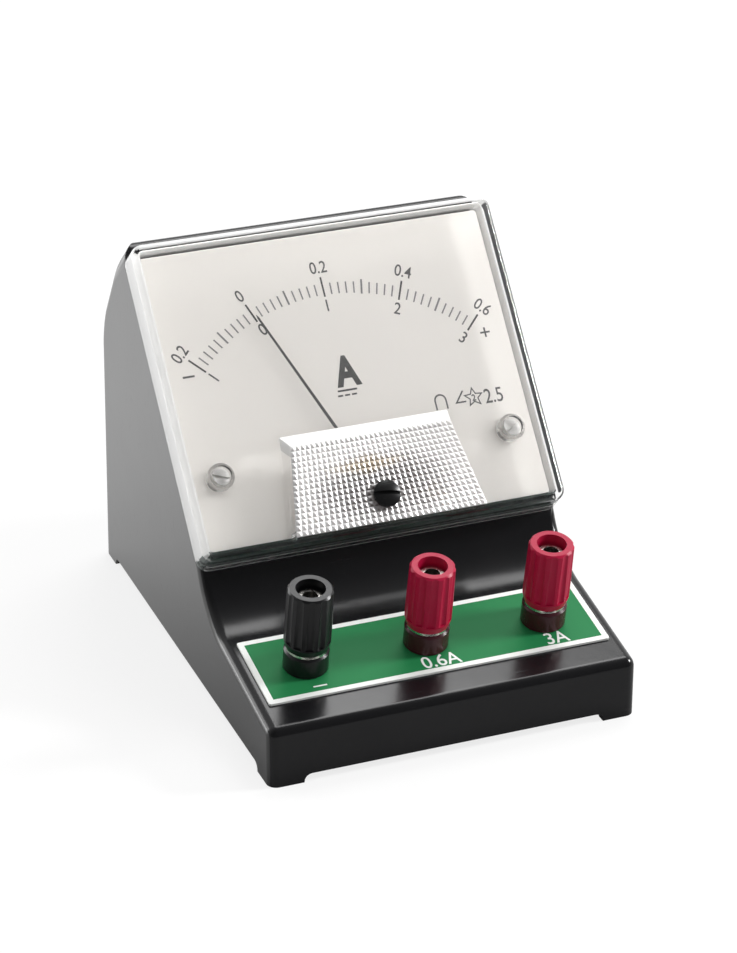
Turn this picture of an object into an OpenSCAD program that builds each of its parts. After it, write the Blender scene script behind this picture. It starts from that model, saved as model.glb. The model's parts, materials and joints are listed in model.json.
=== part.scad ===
// Bench ammeter for a classroom: a moving-coil movement behind a clear sloping window,
// in a one-piece moulded desk case with three binding posts on its front deck.
// Millimetres. X is to the right, Y runs from the front to the back, Z is up, and the
// origin is on the table under the middle of the case.

/* [Case] */
// Width of the moulded case
case_w = 98; // [94:0.5:112]
// Depth of the case at the table
case_d = 134; // [130:0.5:150]
// Height of the front face where the deck begins
front_h = 15.8; // [14:0.2:20]
// Slope of the deck that carries the posts
deck_slope = 10.3; // [8:0.1:12]
// Wall of the moulding
wall = 2.5; // [2:0.1:3]
// Radius of the upright corners
corner_r = 3; // [2:0.25:4]
// Height of the four moulded feet
foot_h = 2.2; // [1.8:0.1:3.2]
// Length of each foot along the case's edges
foot_l = 9; // [7:0.5:14]
// Forward lean of the back wall
back_lean = 3; // [1:0.25:5]
// Radius where the ramp rises from the deck
ramp_r = 20; // [14:0.5:21]
// Radius between the back and the top
shoulder_r = 24; // [14:0.5:26]
// Radius of the two upper corners around the window
top_corner_r = 7; // [4:0.5:9]

/* [Window cover] */
// Tilt of the clear window from the horizontal
window_tilt = 49; // [46:0.5:52]
// Distance of the window's lower edge behind the front face
window_y = 44.4; // [43:0.2:48]
// Height of the window's lower edge
window_z = 40.4; // [39:0.2:44]
// Width of the clear cover
cover_w = 98.8; // [95:0.2:112]
// Length of the clear cover up the slope
cover_l = 84.5; // [82:0.5:92]
// Depth of the clear cover from its face to the case
cover_depth = 8.5; // [8:0.1:9.5]
// Thickness of the clear face
cover_t = 1.8; // [1.4:0.1:2.2]
// Thickness of the cover's side walls
cover_side = 2; // [1.5:0.1:2.5]
// Radius of the cover's outer edges
cover_edge_r = 1.5; // [0.8:0.1:2]
// Height that the window block over the movement stands proud
block_h = 3.5; // [3:0.1:4.5]
// Distance of the two cover screws from the middle
cover_screw_x = 39.8; // [36:0.2:42]
// Distance of the two cover screws above the lower edge
cover_screw_s = 21.3; // [19:0.2:26]

/* [Dial] */
// Depth of the dial's face behind the window's face
dial_depth = 5.6; // [5.4:0.1:6]
// Thickness of the dial plate
dial_t = 0.6; // [0.4:0.1:0.8]
// Gap between the dial plate and the cover's walls
dial_gap = 0.5; // [0.3:0.1:1]
// Distance of the pointer's pivot above the window's lower edge
pivot_s = 13.55; // [13:0.05:14.5]
// Radius from the pivot to the pointer's tip
pointer_r = 52.5; // [46:0.5:58]
// Width of the pointer at its root
pointer_w = 0.9; // [0.6:0.1:1.2]
// Angle of the zero mark to the left of upright
zero_angle = 22.5; // [15:0.5:30]
// Angle of each end of the scale from upright
scale_half_angle = 45; // [40:1:48]

/* [Movement] */
// Radius of the soft-iron core
core_r = 6; // [5.5:0.1:6.3]
// Height of the core and the pole pieces
core_h = 12; // [10:0.5:14]
// Radial gap between the core and the pole faces
air_gap = 2; // [1.8:0.05:2.4]
// Width of the coil's sides
coil_w = 3; // [2.4:0.1:3.4]
// Depth of wire on the coil
winding_t = 0.7; // [0.4:0.05:0.8]
// Width of the magnet between the pole pieces
magnet_w = 14; // [12:0.5:16]
// Length of the magnet up the slope
magnet_l = 14; // [10:0.5:16]
// Width of each pole piece's arm
pole_w = 10; // [9:0.5:11]
// Thickness of the plate that carries the movement
frame_t = 2; // [1.6:0.1:2]
// Width of the brass bridge strips
bridge_w = 5; // [4:0.25:6]
// Thickness of the brass bridge strips
bridge_t = 1.2; // [0.8:0.1:1.3]
// Distance of the zero adjuster below the pivot
adjuster_arm = 5.2; // [5:0.1:6]
// Diameter of the zero adjuster's head
adjuster_d = 7; // [6:0.25:8]
// Offset of the zero adjuster's eccentric pin
eccentric = 0.7; // [0.5:0.05:0.9]

/* [Binding posts] */
// Distance between neighbouring posts
post_pitch = 32; // [28:0.5:35]
// Distance of the posts from the deck's front edge, along the deck
post_y = 21; // [19:0.5:23]
// Diameter of the fluted caps
cap_d = 11.8; // [11:0.1:13]
// Length of the fluted caps
cap_l = 17.4; // [16:0.1:20]
// Number of flutes round a cap
flutes = 12; // [8:1:16]
// Height of the moulded collar under a cap
collar_h = 6; // [4:0.1:7]
// Diameter of the collar
collar_d = 11.4; // [10.8:0.1:12.4]
// Diameter of the stud over its thread
stud_d = 5.9; // [5.6:0.1:6.2]
// Diameter of the plug socket in the stud's end
socket_d = 4; // [3.8:0.05:4.1]
// Depth of the plug socket
socket_depth = 12; // [10:0.5:13]

/* [Label plate] */
// Width of the label plate
label_w = 91; // [80:0.5:93]
// Length of the label plate along the deck
label_l = 24.6; // [20:0.2:25.6]
// Distance of the label plate from the deck's front edge
label_front = 9.4; // [7:0.2:10]
// Thickness of the label plate
label_t = 0.6; // [0.4:0.1:0.8]

/* [Screws] */
// Shank diameter of the case and cover screws
screw_d = 3; // [2.5:0.1:3.2]
// Shank diameter of the small brass screws in the movement
small_screw_d = 2; // [1.6:0.1:2.2]

/* [Hidden] */
$fn = 48;
running = 0.05; // radial clearance of a shaft in its hole
easy = 0.25; // clearance all round a part that drops in
eps = 0.01;

black = [0.06, 0.06, 0.065];
clear = [0.85, 0.9, 0.92, 0.35];
brass = [0.78, 0.62, 0.3];
steel = [0.7, 0.7, 0.72];
iron = [0.42, 0.42, 0.44];
nickel = [0.78, 0.77, 0.74];
copper = [0.72, 0.4, 0.22];
red = [0.62, 0.05, 0.16];
green = [0.1, 0.48, 0.28];
paper_white = [0.88, 0.87, 0.84];
aluminium = [0.8, 0.81, 0.82];
magnet_grey = [0.2, 0.2, 0.22];

// ---- Plane geometry -------------------------------------------------------

function unit(v) = v / norm(v);
function left_of(v) = [-v[1], v[0]];
function at(list, i) = list[(i + len(list)) % len(list)];
function flat(p) = [p[0], p[1]];
function cross2(a, b) = a[0] * b[1] - a[1] * b[0];

// Corners [x, y, radius] of a counter-clockwise outline, moved inwards by d
function inset_corners(c, d) = [
    for (i = [0 : len(c) - 1])
        let (
            before = unit(flat(c[i]) - flat(at(c, i - 1))),
            after = unit(flat(at(c, i + 1)) - flat(c[i])),
            shift = (left_of(before) + left_of(after)) / (1 + before * after) * d,
            turns_in = cross2(before, after) < 0,
            r = c[i][2] == 0 ? 0 : max(turns_in ? c[i][2] + d : c[i][2] - d, 0.4)
        )
        [c[i][0] + shift[0], c[i][1] + shift[1], r]
];

// Points of the arc that rounds corner b between a and c with radius r
function corner_arc(a, b, c, r, steps = 10) =
    r == 0 ? [b] :
    let (
        to_a = unit(a - b),
        to_c = unit(c - b),
        half = acos(to_a * to_c) / 2,
        centre = b + unit(to_a + to_c) * r / sin(half),
        start = b + to_a * r / tan(half) - centre,
        turn = 180 - 2 * half,
        way = cross2(to_a, to_c) < 0 ? 1 : -1,
        first = atan2(start[1], start[0])
    )
    [for (i = [0 : steps]) let (t = first + way * turn * i / steps) centre + r * [cos(t), sin(t)]];

function rounded_outline(c) = [
    for (i = [0 : len(c) - 1])
        each corner_arc(flat(at(c, i - 1)), flat(c[i]), flat(at(c, i + 1)), c[i][2])
];

// Rectangle with round corners, from its lower left corner to its upper right one
module round_rect(low, high, r) {
    union() {
        translate([low[0] + r, low[1]]) square([high[0] - low[0] - 2 * r, high[1] - low[1]]);
        translate([low[0], low[1] + r]) square([high[0] - low[0], high[1] - low[1] - 2 * r]);
        for (x = [low[0] + r, high[0] - r], y = [low[1] + r, high[1] - r]) translate([x, y]) circle(r);
    }
}

module box(low, high) {
    translate(low) cube(high - low);
}

module tube(r_out, r_in, h) {
    difference() {
        cylinder(r = r_out, h = h);
        translate([0, 0, -1]) cylinder(r = r_in, h = h + 2);
    }
}

// ---- Frames of reference --------------------------------------------------

// Y measured from the front face
module from_front() {
    translate([0, -case_d / 2, 0]) children();
}

// Origin at the deck's front edge, Y back along the deck, Z square to it
module on_deck() {
    from_front() translate([0, 0, front_h]) rotate([deck_slope, 0, 0]) children();
}

// Origin at the lower edge of the clear face, Y up the slope, Z out of the window
module on_window() {
    from_front() translate([0, window_y, window_z]) rotate([window_tilt, 0, 0]) children();
}

// Origin where the pivot axis meets the dial's face
module on_pivot() {
    on_window() translate([0, pivot_s, -dial_depth]) children();
}

// As on_pivot, turned with the pointer to its place at rest on the zero mark
module on_coil() {
    on_pivot() rotate([0, 0, zero_angle]) children();
}

// Origin at the foot of a binding post, on the label plate
module on_post(side) {
    on_deck() translate([side * post_pitch, post_y, label_t]) children();
}

// [y, z] of a point s up the window's slope and n out of its face
function window_point(s, n) = [
    window_y + s * cos(window_tilt) - n * sin(window_tilt),
    window_z + s * sin(window_tilt) + n * cos(window_tilt)
];

// ---- Case -----------------------------------------------------------------

edge_r = 2; // front and side edges of the deck and the ramp
seat_low = -0.8; // lower edge of the sloping panel, along the slope
seat_high = cover_l + 4.8; // upper edge, just above the clear cover
top_draft = 6.5; // the top comes down by this over top_run
top_run = 24.5;
ramp_angle = 62;

over = 0.02; // rounding tools stand past the faces they blend with

// Side outline of the case as corners [y, z, radius], counter-clockwise
function case_corners(base_z) =
    let (
        seat_a = window_point(seat_low, -cover_depth),
        seat_b = window_point(seat_high, -cover_depth),
        top_b = window_point(seat_high - top_draft, -cover_depth - top_run),
        lean = tan(back_lean),
        top_way = unit(top_b - seat_b),
        // where the line of the top meets the leaning back
        reach = (case_d - seat_b[1] * lean - seat_b[0]) / (top_way[0] + top_way[1] * lean),
        shoulder = seat_b + top_way * reach
    )
    [
        [0, base_z, 0],
        [case_d - base_z * lean, base_z, 0],
        [shoulder[0], shoulder[1], shoulder_r],
        [seat_b[0], seat_b[1], 1],
        [seat_a[0], seat_a[1], 0],
        [ramp_foot()[0], ramp_foot()[1], ramp_r],
        [0, front_h, edge_r]
    ];

// [y, z] where the ramp's line meets the deck's line
function ramp_foot() =
    let (
        seat_a = window_point(seat_low, -cover_depth),
        m = tan(ramp_angle),
        k = tan(deck_slope),
        y = (m * seat_a[0] - seat_a[1] + front_h) / (m - k)
    )
    [y, front_h + k * y];

// The case's outer form, or with inset the form of its cavity, which runs out below
module case_form(inset = 0) {
    base_z = inset == 0 ? 0 : -1 - inset;
    half = case_w / 2 - inset;
    r = max(corner_r - inset, 0.5);
    top_r = max(top_corner_r - inset, 0.5);
    intersection() {
        from_front() rotate([90, 0, 90]) translate([0, 0, -half - 1]) linear_extrude(2 * half + 2)
            polygon(rounded_outline(inset_corners(case_corners(base_z), inset)));
        from_front() translate([0, 0, -6]) linear_extrude(200)
            round_rect([-half, inset], [half, case_d - inset], r);
        // the window end has round upper corners, square to the window
        on_window() translate([0, 0, -2 * case_d]) linear_extrude(3 * case_d)
            round_rect([-half - over, -2 * case_d], [half + over, seat_high - inset], top_r);
    }
}

// What is cut from a side edge: [distance beyond the edge's arc, depth below the face]
module edge_section() {
    difference() {
        translate([-edge_r, -1]) square(edge_r + 1);
        translate([over - edge_r, edge_r - over]) circle(edge_r);
    }
}

// Rounds the side edges along the deck, round the hollow at its end and up the ramp
module edge_tools() {
    bend = ramp_angle - deck_slope;
    tangent = ramp_r * tan(bend / 2);
    run = norm(ramp_foot()) - tangent;
    deck_run = norm([ramp_foot()[0], ramp_foot()[1] - front_h]) - tangent;
    ramp_run = norm(ramp_foot() - window_point(seat_low, -cover_depth)) - tangent;
    for (side = [0, 1]) mirror([side, 0, 0]) {
        on_deck() translate([case_w / 2, -2, 0]) rotate([-90, 0, 0])
            linear_extrude(deck_run + 2) edge_section();
        on_deck() translate([0, deck_run, ramp_r]) rotate([90, 0, 90]) {
            rotate([0, 0, -90]) rotate_extrude(angle = bend)
                translate([ramp_r, case_w / 2]) rotate([0, 0, -90]) mirror([1, 0]) edge_section();
            rotate([0, 0, bend - 90]) translate([ramp_r, 0, case_w / 2]) rotate([-90, -90, 0])
                linear_extrude(ramp_run + over) edge_section();
        }
    }
}

panel_top = -cover_depth; // outer face of the sloping panel, from the window's face
rib_t = 1.2; // rib that locates the cover
plate_low = [-25, cover_side + easy + rib_t + 0.3]; // movement plate, corners on the slope
plate_high = [25, 47];
opening_low = [-18.2, 5]; // opening in the sloping panel for the movement
opening_high = [18.2, pivot_s + 12 + magnet_l + 1.5];
plate_screw_s = [9, plate_high[1] - 3];
plate_screw_x = 21.6;
dial_rest = [42, cover_l - 9]; // upper pads that carry the dial plate

bottom_t = 2; // bottom cover
screw_bite = 2 * screw_d; // length of thread that bites in the case
boss_r = screw_d / 2 + 2.5;
bottom_z = foot_h + 0.3;
bottom_screw_x = case_w / 2 - 9.5;
bottom_screw_y = [11.5, case_d - 13];
screw_r = screw_d / 2;
small_r = small_screw_d / 2;
thread_gap = 0.25; // the shanks are drawn at the thread's root

// Pads and pillars that the cover screws and plate screws bite in
module case_bosses() {
    pad_top = -dial_depth - dial_t;
    on_window() {
        for (x = [-cover_screw_x, cover_screw_x])
            translate([x, cover_screw_s, panel_top - screw_bite - 3])
                cylinder(r = boss_r, h = pad_top - panel_top + screw_bite + 3);
        for (x = [-dial_rest[0], dial_rest[0]])
            translate([x, dial_rest[1], panel_top - eps]) cylinder(r = 2.4, h = pad_top - panel_top + eps);
        for (x = [-plate_screw_x, plate_screw_x], s = plate_screw_s)
            translate([x, s, panel_top - 7]) cylinder(r = 2.8, h = 7 - eps);
        // rib that holds the cover square on the panel
        translate([0, 0, panel_top - eps]) linear_extrude(1 + eps) difference() {
            round_rect([-rib_half(), cover_side + easy], [rib_half(), cover_l - cover_side - easy], 2.5);
            round_rect(
                [-rib_half() + rib_t, cover_side + easy + rib_t],
                [rib_half() - rib_t, cover_l - cover_side - easy - rib_t], 1.3
            );
        }
    }
    intersection() {
        from_front() for (x = [-bottom_screw_x, bottom_screw_x], y = bottom_screw_y)
            translate([x, y, bottom_z + bottom_t]) {
                cylinder(r = boss_r, h = 4 * screw_bite);
                translate([x > 0 ? 0 : -2 * boss_r, -1, 0]) cube([2 * boss_r, 2, 4 * screw_bite]);
            }
        case_form(0.4);
    }
}
function rib_half() = cover_w / 2 - cover_side - easy;

module case_holes() {
    on_window() {
        translate([0, 0, panel_top - wall - 3]) linear_extrude(wall + 8)
            round_rect(opening_low, opening_high, 2);
        for (x = [-cover_screw_x, cover_screw_x])
            translate([x, cover_screw_s, panel_top - screw_bite - 2])
                cylinder(r = screw_r - thread_gap, h = 3 * screw_bite);
        for (x = [-plate_screw_x, plate_screw_x], s = plate_screw_s)
            translate([x, s, panel_top - 6]) cylinder(r = small_r - 0.15, h = 10);
    }
    on_deck() for (side = [-1, 0, 1])
        translate([side * post_pitch, post_y, -wall - 2]) cylinder(r = spigot_r + easy / 2, h = wall + 4);
    from_front() for (x = [-bottom_screw_x, bottom_screw_x], y = bottom_screw_y)
        translate([x, y, 0]) cylinder(r = screw_r - thread_gap, h = bottom_z + bottom_t + screw_bite + 2);
}

// Arches between the feet, through the walls all round
module foot_arches() {
    from_front() {
        rotate([90, 0, 0]) translate([0, 0, -case_d - 1]) linear_extrude(case_d + 2)
            round_rect([-case_w / 2 + foot_l, -9], [case_w / 2 - foot_l, foot_h], 2);
        rotate([90, 0, 90]) translate([0, 0, -case_w / 2 - 1]) linear_extrude(case_w + 2)
            round_rect([foot_l, -9], [case_d - foot_l, foot_h], 2);
    }
}

module case() {
    color(black) difference() {
        union() {
            difference() {
                case_form();
                edge_tools();
                case_form(wall);
            }
            case_bosses();
        }
        case_holes();
        foot_arches();
    }
}

module bottom_cover() {
    gap = wall + easy;
    color(black) from_front() difference() {
        translate([0, 0, bottom_z]) linear_extrude(bottom_t)
            round_rect([-case_w / 2 + gap, gap], [case_w / 2 - gap, case_d - gap - 0.4], 1.5);
        for (x = [-bottom_screw_x, bottom_screw_x], y = bottom_screw_y)
            translate([x, y, bottom_z - 1]) cylinder(r = screw_r + 0.2, h = bottom_t + 2);
    }
}

// Screw with a slotted cheese head, its shank down from the origin
module cheese_screw(r, head_r, head_h, length) {
    difference() {
        union() {
            cylinder(r = head_r, h = head_h);
            translate([0, 0, -length]) cylinder(r = r, h = length + eps);
        }
        translate([-head_r - 1, -head_r / 7, head_h * 0.5]) cube([2 * head_r + 2, head_r / 3.5, head_h]);
    }
}

module bottom_screws() {
    color(steel) from_front() for (x = [-bottom_screw_x, bottom_screw_x], y = bottom_screw_y)
        translate([x, y, bottom_z]) rotate([180, 0, 0])
            cheese_screw(screw_r - thread_gap, screw_r + 1.3, foot_h - 0.9, bottom_t + screw_bite);
}

// ---- Clear cover ----------------------------------------------------------

block_top_s = 29.3; // window block: upper edge at the face and on its outer surface
block_crown_s = 24.8;
block_foot = [23.3, 26.1]; // half widths at the face, top and bottom
block_crown = [21.8, 25.9]; // half widths of its outer surface
well_r = screw_r + 1.1; // well for a cover screw's head
well_floor = -3.4;
tube_r = 3.5;

// Block over the movement: a low wedge-sided form that widens downwards
module block_form(inset, low_s, base_n) {
    hull() {
        translate([0, 0, base_n]) linear_extrude(eps) polygon([
            [-block_foot[1] + inset, low_s], [block_foot[1] - inset, low_s],
            [block_foot[0] - inset, block_top_s - inset], [-block_foot[0] + inset, block_top_s - inset]
        ]);
        translate([0, 0, block_h - inset - eps]) linear_extrude(eps) polygon([
            [-block_crown[1] + inset, low_s], [block_crown[1] - inset, low_s],
            [block_crown[0] - inset, block_crown_s - inset], [-block_crown[0] + inset, block_crown_s - inset]
        ]);
    }
}

module cover_shell_form() {
    r = cover_edge_r;
    half = cover_w / 2 - corner_r;
    // the face's edges are rolled over, the rim against the case is square
    hull() {
        for (x = [-half, half], s = [corner_r, cover_l - corner_r]) {
            translate([x, s, -cover_depth]) cylinder(r = corner_r, h = cover_depth - r, $fn = 32);
            translate([x, s, -r]) rotate_extrude($fn = 32) intersection() {
                translate([corner_r - r, 0]) circle(r, $fn = 24);
                square(corner_r + r);
            }
            translate([x, s, -r]) cylinder(r = corner_r - r, h = r, $fn = 32);
        }
    }
}

module front_cover() {
    inner_half = cover_w / 2 - cover_side;
    color(clear) on_window() difference() {
        union() {
            difference() {
                union() {
                    cover_shell_form();
                    block_form(0, 1.4, -cover_t / 2);
                }
                translate([0, 0, -cover_depth - 1]) linear_extrude(cover_depth + 1 - cover_t)
                    round_rect([-inner_half, cover_side], [inner_half, cover_l - cover_side], 1.5);
                block_form(cover_t, 1.4 + cover_t, -cover_t - eps);
            }
            for (x = [-cover_screw_x, cover_screw_x])
                translate([x, cover_screw_s, -dial_depth]) cylinder(r = tube_r, h = dial_depth - eps);
        }
        for (x = [-cover_screw_x, cover_screw_x]) translate([x, cover_screw_s, 0]) {
            translate([0, 0, well_floor]) cylinder(r = well_r, h = 6);
            translate([0, 0, -cover_depth]) cylinder(r = screw_r + 0.15, h = cover_depth);
        }
        translate([0, pivot_s - adjuster_arm, -1]) cylinder(r = stem_r + running, h = block_h + 2);
    }
}

module cover_screws() {
    color(nickel) on_window() for (x = [-cover_screw_x, cover_screw_x])
        translate([x, cover_screw_s, well_floor])
            rotate([0, 0, x > 0 ? 35 : -20])
                cheese_screw(screw_r - thread_gap, well_r - 0.2, screw_r, well_floor - panel_top + screw_bite);
}

// ---- Zero adjuster --------------------------------------------------------

stem_r = 2;
face_n = block_h + dial_depth; // the block's outer surface, above the dial
bridge_top = 5.1; // levels above the dial's face
lever_z = bridge_top + 0.05; // underside of the zero lever
lever_t = 0.4;
pin_r = 0.5;
fork_gap = 0.12; // play of the pin in the fork, each side

module zero_adjuster() {
    head_h = 1.6;
    collar_z = face_n - cover_t - 0.05;
    color(black) on_pivot() translate([0, -adjuster_arm, 0]) {
        difference() {
            union() {
                translate([0, 0, face_n + eps]) cylinder(d = adjuster_d, h = head_h - 0.5);
                // shallow dome on the head
                translate([0, 0, face_n + head_h - 0.5]) intersection() {
                    cylinder(d = adjuster_d, h = 0.9);
                    translate([0, 0, 0.9 - adjuster_d * 1.3]) sphere(r = adjuster_d * 1.3, $fn = 64);
                }
            }
            rotate([0, 0, -8]) translate([-adjuster_d, -0.5, face_n + 0.8]) cube([2 * adjuster_d, 1, 3]);
        }
        translate([0, 0, collar_z - eps]) cylinder(r = stem_r, h = face_n - collar_z + 3 * eps);
        translate([0, 0, collar_z - 0.4]) cylinder(r = stem_r + 0.4, h = 0.4);
        translate([0, -eccentric, lever_z - 0.25]) cylinder(r = pin_r, h = collar_z - lever_z);
    }
}

// Lever with a fork on the eccentric pin and a tab that holds the upper hairspring
module zero_lever() {
    fork_r = adjuster_arm + eccentric;
    slot = pin_r + fork_gap;
    color(brass) on_pivot() difference() {
        union() {
            translate([0, 0, lever_z]) {
                cylinder(r = 2.7, h = lever_t);
                translate([-slot - 0.7, -fork_r - 1.4, 0]) cube([2 * slot + 1.4, fork_r, lever_t]);
                translate([-0.6, 0, 0]) cube([1.2, spring_r + 0.5, lever_t]);
            }
            translate([-0.6, spring_r + 0.06, spring_z]) cube([1.2, 0.44, lever_z + lever_t - spring_z]);
        }
        translate([0, 0, lever_z - 1]) cylinder(r = jewel_r + running, h = 3);
        translate([-slot, -fork_r - 3, lever_z - 1]) cube([2 * slot, 3 + 1.5, 3]);
    }
}

// ---- Dial -----------------------------------------------------------------

dial_half = cover_w / 2 - cover_side - dial_gap;
dial_low = cover_side + dial_gap + 0.5;
dial_high = cover_l - cover_side - dial_gap;
dial_hole = [14.2, -8.3, 9.3]; // half width, lower and upper edge from the pivot
dial_screw_x = 17.4;
dial_screw_y = -5;

module dial_plate() {
    fold = 1.1; // the edges are folded down to stiffen the plate
    color(paper_white) on_window() difference() {
        union() {
            translate([0, 0, -dial_depth - dial_t]) linear_extrude(dial_t)
                round_rect([-dial_half, dial_low], [dial_half, dial_high], 1);
            translate([0, 0, -dial_depth - fold]) linear_extrude(fold - dial_t + eps) difference() {
                round_rect([-dial_half, dial_low], [dial_half, dial_high], 1);
                round_rect([-dial_half + 0.5, dial_low + 0.5], [dial_half - 0.5, dial_high - 0.5], 0.6);
            }
        }
        for (x = [-cover_screw_x, cover_screw_x])
            translate([x, cover_screw_s, -dial_depth - 2]) cylinder(r = screw_r + 0.3, h = 4);
        translate([0, pivot_s, -dial_depth - 2]) {
            linear_extrude(4) round_rect([-dial_hole[0], dial_hole[1]], [dial_hole[0], dial_hole[2]], 1.5);
            for (x = [-dial_screw_x, dial_screw_x])
                translate([x, dial_screw_y, 0]) cylinder(r = small_r + 0.2, h = 4);
        }
    }
}

module dial_screws() {
    color(brass) on_pivot() for (x = [-dial_screw_x, dial_screw_x])
        translate([x, dial_screw_y, 0]) rotate([0, 0, 30])
            cheese_screw(small_r - 0.1, 0.9 * small_screw_d, 0.45 * small_screw_d, dial_t + small_screw_d);
}

// ---- Movement: the fixed parts --------------------------------------------

seat_z = dial_depth - cover_depth; // sloping panel's face, from the dial's face
plate_z = seat_z + frame_t; // top of the movement plate
core_top = seat_z;
core_mid = core_top - core_h / 2;
pole_r = core_r + air_gap;
coil_clear = 0.45; // from the core to the coil former
former_t = 0.25;
coil_r = core_r + coil_clear + former_t + winding_t; // outer face of the coil's sides
coil_top = core_top + 0.5 + former_t + winding_t;
coil_bottom = core_top - core_h - 0.5 - former_t - winding_t;
magnet_y = core_r + 6;
pole_x = magnet_w / 2 + pole_w;
pole_low = -7.5;
pole_high = magnet_y + magnet_l;
leg_x = norm([coil_r, coil_w / 2]) + 1; // bridge legs stand clear of the coil's sweep
bridge_screw_x = leg_x + bridge_t + 2.2;
leg_step = 1.5; // the lower bridge's legs and screws are this much further out
spring_t = 0.35;
low_spring_drop = 3.2; // from the coil down to the lower hairspring
// top face of the lower bridge's strip
low_bridge_z = coil_bottom - low_spring_drop - spring_t - 2.85;
jewel_r = 1.25;
spring_z = 2.75;
spring_r = 5;
stop_r = 12; // the pointer's stop pins: distance from the pivot, and radius
stop_pin_r = 0.4;
lever_swing = 5.2;
swing_over = 1.5;
stop_angle = scale_half_angle + swing_over + lever_swing + 4.6;

module movement_plate() {
    color(aluminium) on_pivot() difference() {
        union() {
            translate([0, -pivot_s, seat_z]) linear_extrude(frame_t) round_rect(plate_low, plate_high, 2);
            for (x = [-dial_screw_x, dial_screw_x])
                translate([x, dial_screw_y, plate_z - eps]) cylinder(r = 2.4, h = -dial_t - plate_z + eps);
        }
        translate([0, 0, seat_z - 1]) cylinder(r = norm([coil_r, coil_w / 2]) + 0.6, h = frame_t + 2);
        for (x = [-bridge_screw_x, bridge_screw_x])
            translate([x, 0, seat_z - 1]) cylinder(r = small_r - 0.1, h = frame_t + 2);
        for (x = [-dial_screw_x, dial_screw_x])
            translate([x, dial_screw_y, seat_z - 1]) cylinder(r = small_r - 0.1, h = frame_t + 3);
        for (x = [-plate_screw_x, plate_screw_x], s = plate_screw_s)
            translate([x, s - pivot_s, plate_z]) countersunk_hole(small_r + 0.1);
        for (p = pole_screw_places) translate([p[0], p[1], plate_z]) countersunk_hole(small_r + 0.1);
        for (x = [-1, 1]) translate([x * stop_r * sin(stop_angle), stop_r * cos(stop_angle), seat_z - 1])
            cylinder(r = stop_pin_r, h = frame_t + 2);
    }
}

module countersunk_hole(r) {
    translate([0, 0, -frame_t - 1]) cylinder(r = r, h = frame_t + 2);
    translate([0, 0, -r]) cylinder(r1 = r, r2 = 2 * r + 0.1, h = r + 0.1);
}

module countersunk_screw(r, length) {
    difference() {
        union() {
            translate([0, 0, -length]) cylinder(r = r, h = length);
            translate([0, 0, -r]) cylinder(r1 = r, r2 = 2 * r, h = r);
        }
        translate([-3 * r, -0.2, -0.45]) cube([6 * r, 0.4, 1]);
    }
}

module plate_screws() {
    color(steel) on_pivot() for (x = [-plate_screw_x, plate_screw_x], s = plate_screw_s)
        translate([x, s - pivot_s, plate_z - 0.05]) rotate([0, 0, 20 + 3 * s])
            countersunk_screw(small_r - 0.15, frame_t + 5);
}

pole_screw_places = [
    for (x = [-1, 1], y = [9.5, pole_high - 3.5]) [x * (pole_x - pole_w / 2 + 0.5), y]
];

module pole_screws() {
    color(steel) on_pivot() for (p = pole_screw_places)
        translate([p[0], p[1], plate_z - 0.05]) rotate([0, 0, 50 * p[1]])
            countersunk_screw(small_r - 0.05, frame_t + 4);
}

module pole_pieces() {
    tip_x = 3.2;
    color(iron) on_pivot() for (side = [0, 1]) mirror([side, 0, 0]) difference() {
        translate([0, 0, core_top - core_h]) linear_extrude(core_h) difference() {
            translate([tip_x, pole_low]) square([pole_x - tip_x, pole_high - pole_low]);
            circle(pole_r);
            // room for the magnet above the pole tips
            translate([-eps, magnet_y - 3]) square([magnet_w / 2 + eps, pole_high]);
        }
        for (p = pole_screw_places) if (p[0] > 0)
            translate([p[0], p[1], core_top - 5]) cylinder(r = small_r - 0.05, h = 10);
        translate([bridge_screw_x + leg_step, 0, core_top - core_h - 1]) cylinder(r = small_r - 0.1, h = 5);
    }
}

module magnet() {
    color(magnet_grey) on_pivot()
        box([-magnet_w / 2, magnet_y, core_top - core_h], [magnet_w / 2, pole_high, core_top]);
}

support_half = 1.7;

module core() {
    color(iron) on_pivot() difference() {
        translate([0, 0, core_top - core_h]) cylinder(r = core_r, h = core_h);
        box([-support_half, core_r - 1.2, core_mid - 3], [support_half, core_r + 1, core_mid + 3]);
    }
}

// Brass block that holds the core to the magnet, inside the coil
module core_support() {
    color(brass) on_pivot()
        box([-support_half, core_r - 1.2, core_mid - 3], [support_half, magnet_y, core_mid + 3]);
}

// Folded strip: feet, legs and a top that carries a jewel screw
module bridge_strip(foot_z, top_z, screw_x, leg) {
    end = screw_x + small_r + 0.9;
    difference() {
        union() {
            box([-leg - bridge_t, -bridge_w / 2, top_z - bridge_t], [leg + bridge_t, bridge_w / 2, top_z]);
            for (side = [0, 1]) mirror([side, 0, 0]) {
                box([leg, -bridge_w / 2, foot_z], [leg + bridge_t, bridge_w / 2, top_z]);
                box([leg, -bridge_w / 2, foot_z], [end, bridge_w / 2, foot_z + bridge_t]);
            }
        }
        translate([0, 0, top_z - bridge_t - 1]) cylinder(r = jewel_r, h = bridge_t + 2);
        for (x = [-screw_x, screw_x])
            translate([x, 0, foot_z - 1]) cylinder(r = small_r + 0.1, h = bridge_t + 2);
    }
}

module upper_bridge() {
    color(brass) on_pivot() bridge_strip(plate_z, bridge_top, bridge_screw_x, leg_x);
}

low_leg_x = leg_x + leg_step;
low_foot_z = core_top - core_h;

module lower_bridge() {
    color(brass) on_pivot() translate([0, 0, low_foot_z]) mirror([0, 0, 1])
        bridge_strip(0, low_foot_z - low_bridge_z + bridge_t, bridge_screw_x + leg_step, low_leg_x);
}

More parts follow.
